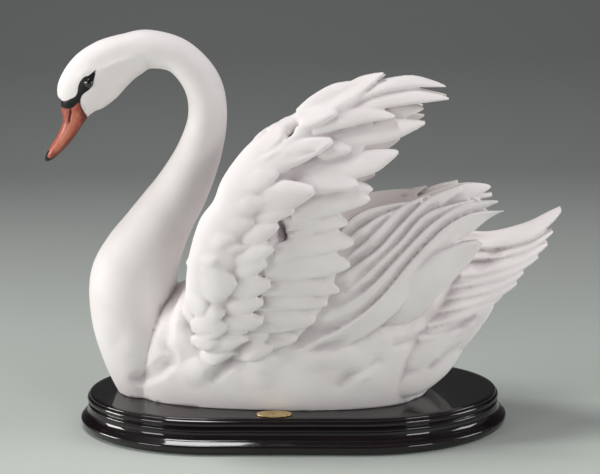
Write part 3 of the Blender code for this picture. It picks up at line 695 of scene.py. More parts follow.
# %% [markdown]
# The photograph doesn't show the inside of the wings. On a real swan two rows of long plain feathers
# line it, at an even pitch up the wing, so a line of roots and a line of tips place them all.

# %% Lining of the wings
LINING_ROWS = [
    ([(-24, 78), (-14, 110), (0, 150), (16, 184), (40, 222)],
     [(14, 66), (34, 98), (40, 132), (44, 166), (66, 214)], 11, 19.0, (-2.0, -2.0, 1.0, 2.2)),
    ([(-46, 84), (-40, 118), (-26, 152), (-6, 184), (22, 212)],
     [(-12, 72), (0, 108), (10, 144), (20, 176), (44, 212)], 11, 18.0, (-3.0, -3.0, 2.6, 3.6)),
]
LINING_THICK = 4.0
LINING_CROWN = 0.6
LINING_BEND = 3.0
LINING_OUTLINE = (0.8, 1.0, 1.0, 0.7, 0.12)


def add_lining(bm, side):
    """Both rows of the wing's inner feathers."""
    for roots, tips, count, width, rise in LINING_ROWS:
        for root, tip in zip(smooth_path(roots, count), smooth_path(tips, count)):
            add_feather(bm, "lining", root, tip, width, LINING_BEND, LINING_OUTLINE, rise, LINING_THICK,
                        LINING_CROWN, side)


print(sum(row[2] for row in LINING_ROWS), "feathers inside each wing")

# %% [markdown]
# Fine folds are not built but pressed in afterwards, as a sculptor does with a thumb or a wire tool.
# Each stroke is its path in the side view, the radius that it reaches and its height, which is negative
# for a dent. The small feathers of the back are rows of round scallops, each row half a feather aside.

# %% Strokes of the sculptor
STROKES = [
    # hollows that part the neck, the breast and the folds of the flank
    ([(-79, 90), (-86, 69), (-89, 49), (-86, 39), (-98, 26), (-114, 17)], 9.0, -3.0),
    ([(-53, 28), (-40, 39), (-27, 54)], 8.0, -3.5),
    ([(-129, 51), (-125, 46)], 11.0, -0.9),
    ([(-114, 41), (-113, 35)], 12.0, -0.9),
    ([(40, 22), (49, 29), (67, 39)], 8.0, -1.6),
    ([(25, 51), (37, 53), (50, 57)], 8.0, -2.0),
    ([(79, 51), (86, 51), (96, 53)], 7.0, -1.6),
    # swellings of the breast and the thigh
    ([(-77, 77), (-85, 60), (-84, 44)], 13.0, 3.0),
    ([(-77, 64), (-75, 49)], 9.0, 2.0),
    ([(-101, 59), (-109, 34)], 22.0, 2.5),
    ([(-71, 28), (-52, 36)], 14.0, 3.0),
    ([(-17, 44), (-17, 31)], 16.0, 3.0),
    ([(11, 41), (45, 45)], 12.0, 2.0),
    ([(60, 33), (64, 26)], 15.0, 1.8),
    ([(73, 52), (79, 56)], 13.0, 1.5),
    # creases of the rump, of the hollow above the tail and of the rear
    ([(143, 101), (153, 107), (161, 113)], 8.0, -1.6),
    ([(100, 56), (114, 57), (128, 61), (139, 67)], 4.5, -1.6),
    ([(152, 75), (141, 58), (132, 45)], 4.0, 1.5),
    ([(114, 41), (125, 51), (135, 60)], 4.0, -1.2),
    ([(107, 31), (120, 41), (129, 48)], 4.0, -1.6),
]
BACK_ROWS = (-30.0, 100.0, 17.0)
BACK_HALF_WIDTH = 40.0
BACK_FEATHER = 15.0
BACK_TOP = 128.0
BACK_STROKE = (4.5, -2.2)
BACK_NARROWS_BY = 0.35
SCALLOP_LENGTH_SHARE = 0.75
SCALLOP_TURNS = np.radians((-80, -40, 0, 40, 80))
print(len(STROKES), "strokes on each flank")

# %% [markdown]
# To press a stroke in, each point near its path is moved along the way it faces. The move is greatest on
# the path, fades to nothing at the radius, and is weaker toward both ends. A small round probe finds how
# far out the skin lies at each point of a path.

# %% Press a stroke into the skin
STROKE_END = 0.12
PROBE_RADIUS = 2.0
SHORTEST_STEP = 1e-12


def mesh_rows(vectors, key):
    """A vector of every point of a mesh, as rows of x, y, z."""
    rows = np.empty(len(vectors) * 3)
    vectors.foreach_get(key, rows)
    return rows.reshape(-1, 3)


def points_and_normals(mesh):
    """Where the points of a mesh are, in metres, and the direction that each one faces."""
    return mesh_rows(mesh.vertices, "co"), mesh_rows(mesh.vertex_normals, "vector")


def move_points(mesh, points):
    """Puts the points of a mesh where the rows say."""
    mesh.vertices.foreach_set("co", points.ravel())
    mesh.update()


def nearest_on_path(spots, path):
    """Distance of each spot to a path of straight steps, and how far along it that is, from 0 to 1."""
    nearest = np.full(len(spots), np.inf)
    along = np.zeros(len(spots))
    for i, (start, end) in enumerate(zip(path, path[1:])):
        step = end - start
        share = np.clip((spots - start) @ step / max(step @ step, SHORTEST_STEP), 0, 1)
        gap = np.linalg.norm(spots - start - share[:, None] * step, axis=1)
        closer = gap < nearest
        nearest[closer] = gap[closer]
        along[closer] = (i + share[closer]) / (len(path) - 1)
    return nearest, along


def press(points, normals, path, radius, height):
    """Moves the skin near a path of (x, y, z) points; the move fades to nothing at the radius."""
    path = smooth_path(path, 4 * len(path)) * MM
    reach = radius * MM
    boxed = (points > path.min(axis=0) - reach) & (points < path.max(axis=0) + reach)
    near = np.where(boxed.all(axis=1))[0]
    nearest, along = nearest_on_path(points[near], path)
    ends = np.sin(math.pi * (STROKE_END + (1 - 2 * STROKE_END) * along)) ** 0.5
    fade = np.clip(1 - (nearest / reach) ** 2, 0, 1) ** 2 * ends
    points[near] += normals[near] * (fade * height * MM)[:, None]


def back_scallops():
    """Paths of (x, y) round the ends of the small feathers on the back, row behind row."""
    for row, x in enumerate(np.arange(*BACK_ROWS)):
        along = row * BACK_ROWS[2] / (BACK_ROWS[1] - BACK_ROWS[0])
        half = BACK_HALF_WIDTH * (1.0 - BACK_NARROWS_BY * along)
        for y in np.arange(-half + (row % 2) * BACK_FEATHER / 2, half, BACK_FEATHER):
            yield [(x + SCALLOP_LENGTH_SHARE * BACK_FEATHER * math.cos(turn),
                    y + BACK_FEATHER / 2 * math.sin(turn)) for turn in SCALLOP_TURNS]


def near_probe(points, axes, spot):
    """Which points lie under a small round probe at a spot, looked at along the third axis."""
    away = points[:, axes] - np.array(spot) * MM
    return np.hypot(away[:, 0], away[:, 1]) < PROBE_RADIUS * MM


def sculpt(swan):
    """Presses every stroke into both sides of the casting, and the scallops into its back."""
    points, normals = points_and_normals(swan.data)
    for trace, radius, height in STROKES:
        for side in (-1, 1):
            path = []
            for x, z in trace:
                beside = near_probe(points, [0, 2], (x, z)) & (points[:, 1] * side > 0)
                out = np.abs(points[beside, 1])
                path.append((x, side * (out.max() / MM if len(out) else tail_reach(x, z)), z))
            press(points, normals, path, radius, height)
    for scallop in back_scallops():
        path = []
        for x, y in scallop:
            under = near_probe(points, [0, 1], (x, y)) & (points[:, 2] < BACK_TOP * MM)
            on_back = points[under, 2]
            path.append((x, y, on_back.max() / MM if len(on_back) else BACK_TOP))
        press(points, normals, path, *BACK_STROKE)
    move_points(swan.data, points)


# %% [markdown]
# Now the layers are put together and fused. A voxel remesh melts all the overlapping solids into one
# skin, as the slip-cast mould does, a light smoothing softens the steps, the strokes go in, and a
# decimation keeps the count of triangles sensible. The base is cut level where it stands on the wood.
# Only the head is then made finer again, for its paint.

# %% Fuse the casting
VOXEL = 0.85
CASTING_TRIANGLES = 180000
HEAD_FROM_X = -133.0
HEAD_FROM_Z = 195.0
HEAD_ROUNDING = 0.6


def apply_modifier(obj, kind, **settings):
    """Adds one modifier, sets it and applies it."""
    bpy.ops.object.select_all(action="DESELECT")
    obj.select_set(True)
    bpy.context.view_layer.objects.active = obj
    modifier = obj.modifiers.new(kind.lower(), kind)
    for key, value in settings.items():
        setattr(modifier, key, value)
    bpy.ops.object.modifier_apply(modifier=modifier.name)


def add_rows(bm, side, surfaces):
    """The feathers of every row that lies on one of these surfaces."""
    for row in ROWS.values():
        if row["surface"] in surfaces:
            for root, tip, width, bend, lift in row["feathers"]:
                rise = [lift + height for height in row["rise"]]
                add_feather(bm, row["surface"], root, tip, width, bend, row["outline"], rise,
                            row["thick"], row["crown"], side)


bm = bmesh.new()
add_tube(bm, NECK_LINE, samples=140, around=48)
add_tube(bm, BILL_LINE, samples=40, around=24)
add_body(bm)
for side in (-1, 1):
    before = set(bm.verts)
    add_wing_shell(bm, side)
    add_lining(bm, side)
    add_fan(bm, side)
    add_rows(bm, side, ("wing", "fan"))
    if side > 0:
        for vert in set(bm.verts) - before:
            vert.co.z -= FAR_WING_DROP * MM
    add_rows(bm, side, ("tail",))
casting = new_object("swan_casting", bm)
apply_modifier(casting, "REMESH", mode="VOXEL", voxel_size=VOXEL * MM)
apply_modifier(casting, "SMOOTH", factor=0.5, iterations=3)
sculpt(casting)
apply_modifier(casting, "SMOOTH", factor=0.5, iterations=2)
print("fused:", len(casting.data.polygons), "faces")
apply_modifier(casting, "DECIMATE", ratio=CASTING_TRIANGLES / (2 * len(casting.data.polygons)))
bpy.ops.object.mode_set(mode="EDIT")
bpy.ops.mesh.select_all(action="SELECT")
bpy.ops.mesh.bisect(plane_co=(0, 0, 0), plane_no=(0, 0, 1), use_fill=True, clear_inner=True)
choose(casting, "polygons",
       lambda face: face.center.x < HEAD_FROM_X * MM and face.center.z > HEAD_FROM_Z * MM)
bpy.ops.mesh.subdivide(number_cuts=1, smoothness=HEAD_ROUNDING)
bpy.ops.mesh.select_all(action="SELECT")
bpy.ops.mesh.quads_convert_to_tris()
bpy.ops.object.mode_set(mode="OBJECT")
casting.data.transform(Matrix.Translation((0, 0, CAST_BASE * MM)))

# %% [markdown]
# A remesh can leave a crumb of skin beside a thin feather tip. The casting is one piece, so a selection
# grows from its highest point, and what it doesn't reach is deleted.

# %% Drop the crumbs
highest = max(casting.data.vertices, key=lambda vertex: vertex.co.z).index
bpy.ops.object.mode_set(mode="EDIT")
choose(casting, "vertices", lambda vertex: vertex.index == highest)
bpy.ops.mesh.select_mode(type="VERT")
bpy.ops.mesh.select_linked()
bpy.ops.mesh.select_all(action="INVERT")
bpy.ops.mesh.delete(type="VERT")
bpy.ops.object.mode_set(mode="OBJECT")
bpy.ops.object.shade_smooth()
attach(casting, "root")
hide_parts("swan")
print("one skin of", len(casting.data.polygons), "triangles")

# %% [markdown]
# The painter works on the head with a fine brush: a black mask from the knob to the corner of the eye,
# an orange-red bill, and its black nail. Outlines like these are easiest to read off the photograph, so
# the next helpers say where a point of the bird falls in it, in pixels, and how deep a spot lies inside
# an outline. The far side is painted as the mirror of the near one.

# %% Where a point falls in the photograph
FRAME_WIDTH = 600
FRAME_HEIGHT = 474
FOCAL_PIXELS = camera.data.lens / camera.data.sensor_width * FRAME_WIDTH


def photo_spots(points):
    """Photograph pixels of points of the bird, each seen as if it were on the near side."""
    near = points * np.array([1.0, 0.0, 1.0]) - np.abs(points) * np.array([0.0, 1.0, 0.0])
    ray = near - np.array(camera.matrix_world.translation)
    scale = FOCAL_PIXELS / -(ray @ np.array(back))
    across = FRAME_WIDTH * (0.5 - camera.data.shift_x) + (ray @ np.array(right)) * scale
    down = FRAME_HEIGHT / 2 + FRAME_WIDTH * camera.data.shift_y - (ray @ np.array(up)) * scale
    return np.stack([across, down], axis=1)


def depth_inside(spots, outline):
    """Distance of each spot inside a closed outline, negative outside it."""
    corners = np.array(outline + outline[:1], dtype=float)
    inside = np.zeros(len(spots), dtype=bool)
    for start, end in zip(corners, corners[1:]):
        straddles = (spots[:, 1] < start[1]) != (spots[:, 1] < end[1])
        slope = (end[0] - start[0]) / (end[1] - start[1] or 1.0)
        inside ^= straddles & (spots[:, 0] < start[0] + (spots[:, 1] - start[1]) * slope)
    depth = nearest_on_path(spots, corners)[0]
    return np.where(inside, depth, -depth)


print("one pixel is", round(VIEW_DISTANCE / FOCAL_PIXELS / MM, 2), "mm at the swan")

# %% [markdown]
# Before the paint, the casting gets its last fine modelling: the folds between the coverts, the slot by
# the leading edge, and on the head the brow, the cheek ridge, the knob over the bill, the nostrils and
# the line of the mouth. These strokes follow pixels of the photograph, with a radius and a height in
# millimetres. The far side takes them too, a little lower on its wing, as the far wing hangs lower.
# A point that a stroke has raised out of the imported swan's box goes back to its face.

# %% Fine strokes
WING_STROKES = [
    ([(295, 121), (291, 127), (287, 133)], 3.8, -10.0),
    ([(251, 143), (258, 137), (265, 131)], 1.8, -2.2),
    ([(266, 129), (276, 120), (288, 112), (297, 109)], 2.0, -1.4),
    ([(257, 156), (270, 150), (280, 141), (284, 136)], 2.6, -1.0),
    ([(290, 157), (302, 156), (312, 152), (322, 143)], 2.4, -1.2),
    ([(280, 223), (283, 230), (283, 238), (279, 245)], 3.8, -8.0),
    ([(186, 330), (195, 336), (212, 336), (228, 334)], 3.2, -1.0),
    ([(236, 334), (250, 333), (262, 331), (275, 330), (290, 328)], 2.2, -1.4),
]
HEAD_STROKES = [
    ([(79, 78), (84, 73.5), (91, 69.5)], 4.0, 0.5),
    ([(96, 67), (108, 60), (122, 53), (138, 47)], 8.0, -0.8),
    ([(98, 71), (107, 66.5), (118, 63), (128, 60), (137, 59)], 2.4, 0.6),
    ([(137, 60), (139, 64), (138, 70)], 2.4, 0.35),
    ([(76, 95), (78, 89), (81, 80)], 2.5, -0.3),
    ([(61, 104), (66, 105)], 3.5, 0.8),
    ([(57, 100.5), (62, 101), (67, 100.5), (72, 98)], 1.3, -0.6),
    ([(62, 109.5), (67, 109.5), (72, 108), (77, 103.5)], 1.3, -0.5),
    ([(80.5, 101), (82, 106), (84.5, 110.5), (88, 116.5)], 1.4, -0.7),
    ([(70.5, 110.5), (70, 114), (69.3, 120)], 1.3, -1.0),
    ([(85, 115), (79, 125), (72, 135.5), (63, 147), (53, 157)], 1.2, -0.8),
    ([(81, 113), (76, 122), (70, 132), (62, 142)], 2.6, 0.35),
]


SEEN_WITHIN_PIXELS = 1.5
HARDLY_FURTHER = 0.1


def point_seen_at(points, normals, spots, spot):
    """The point of the near side that the camera sees at a pixel, or else the nearest to it."""
    facing = np.where((points[:, 1] < 0) & (normals @ np.array(back) > 0))[0]
    gaps = np.linalg.norm(spots[facing] - spot, axis=1)
    candidates = facing[gaps < max(SEEN_WITHIN_PIXELS, gaps.min() + HARDLY_FURTHER)]
    return candidates[np.argmax(points[candidates] @ np.array(back))]


def touch_up(swan, strokes, far_drop):
    """Presses strokes given in pixels into the near side, and their mirror image into the far one."""
    points, normals = points_and_normals(swan.data)
    spots = photo_spots(points)
    for trace, radius, height in strokes:
        path = [points[point_seen_at(points, normals, spots, spot)] / MM for spot in trace]
        press(points, normals, path, radius, height)
        press(points, normals, [(x, -y, z - far_drop) for x, y, z in path], radius, height)
    move_points(swan.data, points)


touch_up(casting, WING_STROKES, FAR_WING_DROP)
touch_up(casting, HEAD_STROKES, 0.0)
move_points(casting.data, np.clip(mesh_rows(casting.data.vertices, "co"),
                                  *[np.array(corner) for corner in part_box("swan")]))
print(len(WING_STROKES), "folds in each wing and", len(HEAD_STROKES), "touches on each side of the head")

# %% [markdown]
# The paint itself is stored on the mesh. Three numbers tell how many pixels deep a point lies inside the
# mask, the bill and the nail, so the shader can cut their edges sharply even between points. Two soft
# ones are painted shade in the nostril, at the cheek rim and along the mouth, and a painted highlight.

# %% Paint on the head
MASK = [(97, 68.8), (95.2, 75), (94, 80), (92.8, 85), (91, 88.2), (88, 90.8), (84.5, 93), (82, 95.5),
        (80.7, 99), (80.4, 103.5), (79, 102.4), (77, 103.6), (75, 106), (72.5, 108), (69, 109),
        (65.5, 108.6), (62, 107.5), (54, 106), (54, 100), (60, 100.2), (64, 101), (67, 100.6), (70, 99),
        (73, 97.8), (75.5, 96.2), (77, 93.5), (77.7, 90), (78.2, 86), (79.5, 82.5), (81.5, 79.5),
        (83.5, 77.3), (85.5, 76.2), (87.8, 76), (90, 74.5), (93, 72), (95.5, 70)]
BILL = [(80.4, 100), (80.5, 103.5), (81.2, 106), (82.6, 109), (84.5, 112), (86.5, 115), (88.6, 118.3),
        (94, 121), (90, 140), (60, 172), (30, 172), (30, 140), (52, 104), (70, 104)]
NAIL = [(50, 149.8), (48.4, 153), (47.7, 156.5), (49, 158.6), (52, 157.8), (56, 155.6), (59.5, 153),
        (61, 155), (52, 168), (38, 168), (38, 150)]
# Painted shade on the bill: darker in the nostril, along the rim of the cheek and along the mouth line.
PAINTED_BILL_SHADE = [
    ([(70.5, 110), (70, 114), (69.3, 121)], 1.8, 1.0),
    ([(80, 103), (82, 109.5), (85, 114), (88, 118)], 2.6, 0.9),
    ([(84, 113.5), (86, 117), (84, 121)], 5.0, 0.9),
    ([(87, 120), (80, 130), (72, 140.5), (62, 151.5), (55, 157)], 4.4, 0.8),
    ([(66, 110), (65, 121)], 4.5, 0.3),
    ([(80, 104), (78, 110)], 3.5, 0.4),
]
# Painted highlight: a light streak down the side of the bill.
PAINTED_BILL_HIGHLIGHT = [([(76, 114), (73, 122), (69, 131), (63, 141), (57, 150)], 4.0, 0.8)]
SOFT_STROKE_SAMPLES = 12
OFF_PICTURE = -1000.0
DEEPEST_OUTSIDE = -20.0


def soft_stroke_cover(spots, brush):
    """How strongly a set of soft strokes covers each spot, up to 1; here they lay painted shade and
    highlight.
    """
    cover = np.zeros(len(spots))
    for trace, radius, strength in brush:
        reach = nearest_on_path(spots, smooth_path(trace, SOFT_STROKE_SAMPLES))[0] / radius
        cover = np.maximum(cover, strength * np.clip(1 - reach ** 2, 0, 1))
    return cover


def store(mesh, name, values):
    """Keeps one number for every point of a mesh."""
    mesh.attributes.new(name, "FLOAT", "POINT").data.foreach_set("value", values.astype(np.float32))


def paint_head(swan):
    """Stores the head's paint, and the bill's painted shade and highlight; counts the points it was
    worked out for.
    """
    points = mesh_rows(swan.data.vertices, "co")
    head = (points[:, 0] < HEAD_FROM_X * MM) & (points[:, 2] > HEAD_FROM_Z * MM)
    spots = np.where(head[:, None], photo_spots(points), OFF_PICTURE)
    for name, outline in (("mask", MASK), ("bill", BILL), ("nail", NAIL)):
        store(swan.data, name, np.maximum(depth_inside(spots, outline), DEEPEST_OUTSIDE))
    store(swan.data, "painted_shade_on_bill", soft_stroke_cover(spots, PAINTED_BILL_SHADE))
    store(swan.data, "painted_highlight_on_bill", soft_stroke_cover(spots, PAINTED_BILL_HIGHLIGHT))
    return head.sum()


print("painted over", paint_head(casting), "points of the head")

# %% [markdown]
# Bisque has no glaze. The folds between its feathers get painted shade, a grey laid into the clay's
# colour, which draws each feather. A hollow is where the skin lies deeper than its own neighbourhood, so
# the mesh is smoothed in numbers only, and the depth is stored.

# %% Painted shade in the folds
HOLLOW_PASSES = 10
HOLLOW_BLUR = 3
HOLLOW_FULL = 0.9
NEIGHBOUR_SHARE = 0.7


def store_painted_fold_shade(swan):
    """Stores how deep each point lies under its smoothed surroundings, 1 for a full fold; it sets the
    painted shade.
    """
    points, normals = points_and_normals(swan.data)
    ends = np.empty(len(swan.data.edges) * 2, dtype=np.int64)
    swan.data.edges.foreach_get("vertices", ends)
    a, b = ends.reshape(-1, 2).T
    links = np.maximum(np.bincount(np.concatenate([a, b]), minlength=len(points)), 1)

    def soften(values, passes):
        """Mixes every point's number with those of its neighbours."""
        for _ in range(passes):
            around = np.bincount(a, values[b], len(points)) + np.bincount(b, values[a], len(points))
            values = (1 - NEIGHBOUR_SHARE) * values + NEIGHBOUR_SHARE * around / links
        return values

    smooth = np.stack([soften(points[:, i], HOLLOW_PASSES) for i in range(3)], axis=1)
    depth = soften(np.sum((smooth - points) * normals, axis=1) / MM, HOLLOW_BLUR)
    store(swan.data, "hollow", np.clip(depth / HOLLOW_FULL, 0, 1))
    return depth.max()


print("deepest fold", round(float(store_painted_fold_shade(casting)), 2), "mm under its surroundings")

# %% [markdown]
# Matt bisque takes the light like fine plaster: no glaze, so only a faint, wide gleam. Close up it isn't
# one white: the clay clouds a little, warm and cool, and fine grit breaks the surface. Real grit of
# 0.1 mm is too fine to show here and is drawn at 0.5 mm. The enamels on the head lie on top of it, and
# are smoother than the clay.

# %% Painted bisque
CLOUD_MM = 17.5
STREAK_MM = 1.25
GRIT_MM = 0.5
PAINT_EDGE_PIXELS = 0.35
MIX_FACTOR, MIX_A, MIX_B, MIX_RESULT = 0, 6, 7, 2
bisque, tree, shader, place = new_material("painted_bisque", Specular_IOR_Level=0.35)
clay = ramp(tree, noise(tree, place, CLOUD_MM, Detail=3.0), [(0.3, "#ece5e4"), (0.7, "#f3eeed")])
orange = ramp(tree, noise(tree, place, STREAK_MM, Detail=3.0), [(0.3, "#ad5444"), (0.7, "#c0654f")])


def painted(below, colour, cover):
    """Lays a colour over another one where the cover says so."""
    mix = add_node(tree, "ShaderNodeMix", {MIX_FACTOR: cover, MIX_A: below}, data_type="RGBA")
    if isinstance(colour, str):
        mix.inputs[MIX_B].default_value = linear(colour)
    else:
        tree.links.new(colour, mix.inputs[MIX_B])
    return mix.outputs[MIX_RESULT]


def stored(name):
    """A number that the mesh keeps for its points."""
    return add_node(tree, "ShaderNodeAttribute", attribute_name=name).outputs["Fac"]


def painted_area(name):
    """1 inside a painted outline and 0 outside it, with an edge as crisp as a fine brush leaves."""
    return rescaled(tree, stored(name), From_Min=-PAINT_EDGE_PIXELS, From_Max=PAINT_EDGE_PIXELS)


bill_cover, mask_cover, nail_cover = painted_area("bill"), painted_area("mask"), painted_area("nail")
# The bill's orange with a painted highlight streak, then painted shade at nostril, cheek rim and mouth.
bill_with_painted_light = painted(orange, "#d28468", stored("painted_highlight_on_bill"))
bill_with_painted_light = painted(bill_with_painted_light, "#4a1516", stored("painted_shade_on_bill"))
# Painted shade: a grey laid into the clay in the folds, as deep as each point lies under its
# surroundings.
surface = painted(clay, "#ab9fa3", stored("hollow"))
for colour, cover in ((bill_with_painted_light, bill_cover), ("#060507", mask_cover), ("#10100e", nail_cover)):
    surface = painted(surface, colour, cover)
enamel = add_node(tree, "ShaderNodeMath", {0: bill_cover, 1: mask_cover}, operation="MAXIMUM")
feed(shader, Base_Color=surface, Roughness=rescaled(tree, enamel.outputs[0], To_Min=0.62, To_Max=0.36),
     Normal=bumps(tree, noise(tree, place, GRIT_MM, Detail=3.0), strength=0.12, depth_mm=0.2))
dress(casting, bisque)
print("bisque with", len(tree.nodes), "nodes")

# %% [markdown]
# Each eye is a bead of black glass set in the mask. A ball would be too deep, so it is flattened along
# the way it looks out, its hidden back is cut away, and the cut is drawn in to a short stem in the head.

# %% Eyes
EYE_SPOT = (87.6, 83.6)
EYE_RADIUS = 3.3
EYE_FLATNESS = 0.5
EYE_BACK = 0.4
EYE_STEM = 1.2
EYE_STEM_TAPER = (0.9, 0.9, 1.0)
SOCKET_RADIUS = 1.2
FLECK_MM = 0.2


def add_eye(name, place, outward):
    """A flattened bead at a place on the head, looking outward."""
    bpy.ops.object.select_all(action="DESELECT")
    bpy.ops.mesh.primitive_uv_sphere_add(segments=40, ring_count=24, radius=EYE_RADIUS * MM)
    eye = bpy.context.object
    eye.name = name
    bpy.ops.object.mode_set(mode="EDIT")
    bpy.ops.mesh.select_all(action="SELECT")
    bpy.ops.transform.resize(value=(1.0, 1.0, EYE_FLATNESS))
    bpy.ops.mesh.bisect(plane_co=(0, 0, -EYE_BACK * MM), plane_no=(0, 0, 1), use_fill=True,
                        clear_inner=True)
    choose(eye, "polygons", lambda face: face.normal.z < -0.9)
    bpy.ops.mesh.extrude_region_move(TRANSFORM_OT_translate={"value": (0, 0, -EYE_STEM * MM)})
    bpy.ops.transform.resize(value=EYE_STEM_TAPER)
    bpy.ops.object.mode_set(mode="OBJECT")
    turn = outward.to_track_quat("Z", "Y").to_matrix().to_4x4()
    eye.data.transform(Matrix.Translation(place) @ turn)
    bpy.ops.object.shade_smooth_by_angle(angle=math.radians(40))
    return eye


glass, tree, shader, place = new_material("black_glass", Roughness=0.12, Coat_Weight=1.0,
                                          Coat_Roughness=0.02)
iris = noise(tree, place, FLECK_MM, Detail=2.0)
feed(shader, Base_Color=ramp(tree, iris, [(0.35, "#050405"), (0.75, "#140c0a")]))

points, facing = points_and_normals(casting.data)
chosen = point_seen_at(points, facing, photo_spots(points), EYE_SPOT)
beside = np.linalg.norm(points - points[chosen], axis=1) < SOCKET_RADIUS * MM
socket, outward = Vector(points[beside].mean(axis=0)), Vector(facing[beside].mean(axis=0))
for name, side in (("eye_near", 1), ("eye_far", -1)):
    mirror = Vector((1, side, 1))
    eye = add_eye(name, socket * mirror, (outward * mirror).normalized())
    dress(eye, glass)
    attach(eye, "root")
    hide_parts("swan")
    print(name, "at", [round(c * 1000, 1) for c in socket * mirror])


# %% [markdown]
# The plinth is one block, and its moulding keeps its width everywhere because a router ran round it, at
# the round ends too. Extruding an oval and scaling it would widen the moulding there. So each ring of
# the moulding is set out at an even distance from the edge of the top face, and the rings are skinned.
# The oval is an ellipse cut in half, with a short straight length let in between its halves.

# %% Plinth
PLINTH_LOW, PLINTH_HIGH = [np.array(corner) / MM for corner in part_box("plinth")]
PLINTH_STEP_IN = 8.0
PLINTH_END_REACH = 109.5
OUTLINE_POINTS = 168
UNDER_REACH = 4.0
PLINTH_SHARP_FROM = 38


def arc(centre, radius, start, end, steps):
    """Points of an arc in the (outset, z) plane, angles in degrees from level outward."""
    turns = np.radians(np.linspace(start, end, steps))
    return [(centre[0] + radius * math.cos(a), centre[1] + radius * math.sin(a)) for a in turns]


def plinth_ring(outset, z):
    """Points round the plinth at a distance out from the edge of its top face."""
    half_length, half_width = (PLINTH_HIGH - PLINTH_LOW)[:2] / 2
    straight = half_length - PLINTH_END_REACH
    reach, half = PLINTH_END_REACH - PLINTH_STEP_IN, half_width - PLINTH_STEP_IN
    ring = []
    for step in range(OUTLINE_POINTS):
        angle = (step + 0.5) * 2 * math.pi / OUTLINE_POINTS
        normal = Vector((half * math.cos(angle), reach * math.sin(angle))).normalized()
        x = reach * math.cos(angle) + math.copysign(straight, math.cos(angle)) + outset * normal.x
        ring.append((x, half * math.sin(angle) + outset * normal.y, PLINTH_LOW[2] + z))
    return ring


foot, top = PLINTH_STEP_IN, PLINTH_HIGH[2] - PLINTH_LOW[2]
moulding = [(foot - UNDER_REACH, 0.0), (foot - 1.6, 0.0), (foot - 0.8, 0.8)]
moulding += arc((foot - 2.2, 4.6), 2.2, -25, 75, 12)
moulding += arc((foot - 1.4, top - 11.4), 5.4, 252, 186, 14)
moulding += arc((0.2, top - 9.2), 1.5, -60, 60, 10)
moulding += arc((-0.7, top - 4.2), 2.8, -72, 50, 14)
moulding += [(0.2, top - 1.5), (0.15, top - 0.9), (-0.2, top - 0.35), (-0.9, top),
             (-UNDER_REACH, top)]
bm = bmesh.new()
add_loft(bm, [plinth_ring(outset, z) for outset, z in moulding])
plinth = new_object("moulded_plinth", bm)
print("moulding of", len(moulding), "rings round", OUTLINE_POINTS, "points")

# %% [markdown]
# Two countersunk screws come up through the plinth into the casting. Nobody sees them, but a maker needs
# their holes. Each hole is cut with a turned tool a little larger than its screw, from both pieces.

# %% Screw holes
SCREW_CLEARANCE = 0.3
SHANK_RADIUS = 2.5
BELOW_HEAD = 3.0
HEAD_RIM = 0.4
HEAD_HEIGHT = 3.3
POINT_LENGTH = 2.0
POINT_BLUNTNESS = 0.35
HOLE_SIDES = 32

turns = [2 * math.pi * i / HOLE_SIDES for i in range(HOLE_SIDES)]
for name in ("fixing_screw_front", "fixing_screw_rear"):
    low, high = [np.array(corner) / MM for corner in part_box(name)]
    middle_x, head = (low[0] + high[0]) / 2, (high[0] - low[0]) / 2 + SCREW_CLEARANCE
    shank, sink = SHANK_RADIUS + SCREW_CLEARANCE, low[2]
    profile = [(head, sink - BELOW_HEAD), (head, sink + HEAD_RIM), (shank, sink + HEAD_HEIGHT),
               (shank, high[2] - POINT_LENGTH), (shank * POINT_BLUNTNESS, high[2] + SCREW_CLEARANCE)]
    bm = bmesh.new()
    add_loft(bm, [[(middle_x + r * math.cos(a), r * math.sin(a), z) for a in turns] for r, z in profile])
    tool = new_object("countersink", bm)
    for piece in (plinth, casting):
        apply_modifier(piece, "BOOLEAN", object=tool, operation="DIFFERENCE", solver="EXACT")
    bpy.data.objects.remove(tool)
    print(name, "bored at x", round(float(middle_x), 1))
bpy.ops.object.select_all(action="DESELECT")
plinth.select_set(True)
bpy.context.view_layer.objects.active = plinth
bpy.ops.object.shade_smooth_by_angle(angle=math.radians(PLINTH_SHARP_FROM))
dress(plinth, lacquered)
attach(plinth, "root")
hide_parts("plinth")

# %% [markdown]
# A small oval plate of brass sits on the front of the plinth. It was stamped, so its rim stands up as a
# rounded bead and the field inside is very slightly domed. It is left bare. An oval is drawn, raised and
# inset as by hand, drawn in by steps to the dome, and its sharp edges are beveled.

# %% Brass badge
BADGE_LOW, BADGE_HIGH = [np.array(corner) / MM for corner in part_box("badge")]
BADGE_RIM = 1.1
BADGE_RECESS = 0.4
BADGE_DOME = ((0.9, 0.0), (0.75, 0.16), (0.6, 0.08))
BADGE_EDGE = 0.22
badge_middle = (BADGE_LOW + BADGE_HIGH) / 2
badge_half = (BADGE_HIGH - BADGE_LOW) / 2
bpy.ops.object.select_all(action="DESELECT")
bpy.ops.mesh.primitive_circle_add(vertices=72, radius=1.0, fill_type="NGON")
badge = bpy.context.object
badge.name = "badge_plate"
bpy.ops.object.mode_set(mode="EDIT")
bpy.ops.mesh.select_all(action="SELECT")
bpy.ops.transform.resize(value=(badge_half[0] * MM, badge_half[1] * MM, 1.0))
bpy.ops.mesh.extrude_region_move(TRANSFORM_OT_translate={"value": (0, 0, 2 * badge_half[2] * MM)})
bpy.ops.mesh.inset(thickness=0.5 * BADGE_RIM * MM, depth=0.0)
bpy.ops.mesh.inset(thickness=0.5 * BADGE_RIM * MM, depth=-BADGE_RECESS * MM)
for spread, lift in BADGE_DOME:
    bpy.ops.mesh.extrude_region_move(TRANSFORM_OT_translate={"value": (0, 0, lift * MM)})
    bpy.ops.transform.resize(value=(spread, spread, 1.0))
bpy.ops.mesh.select_all(action="SELECT")
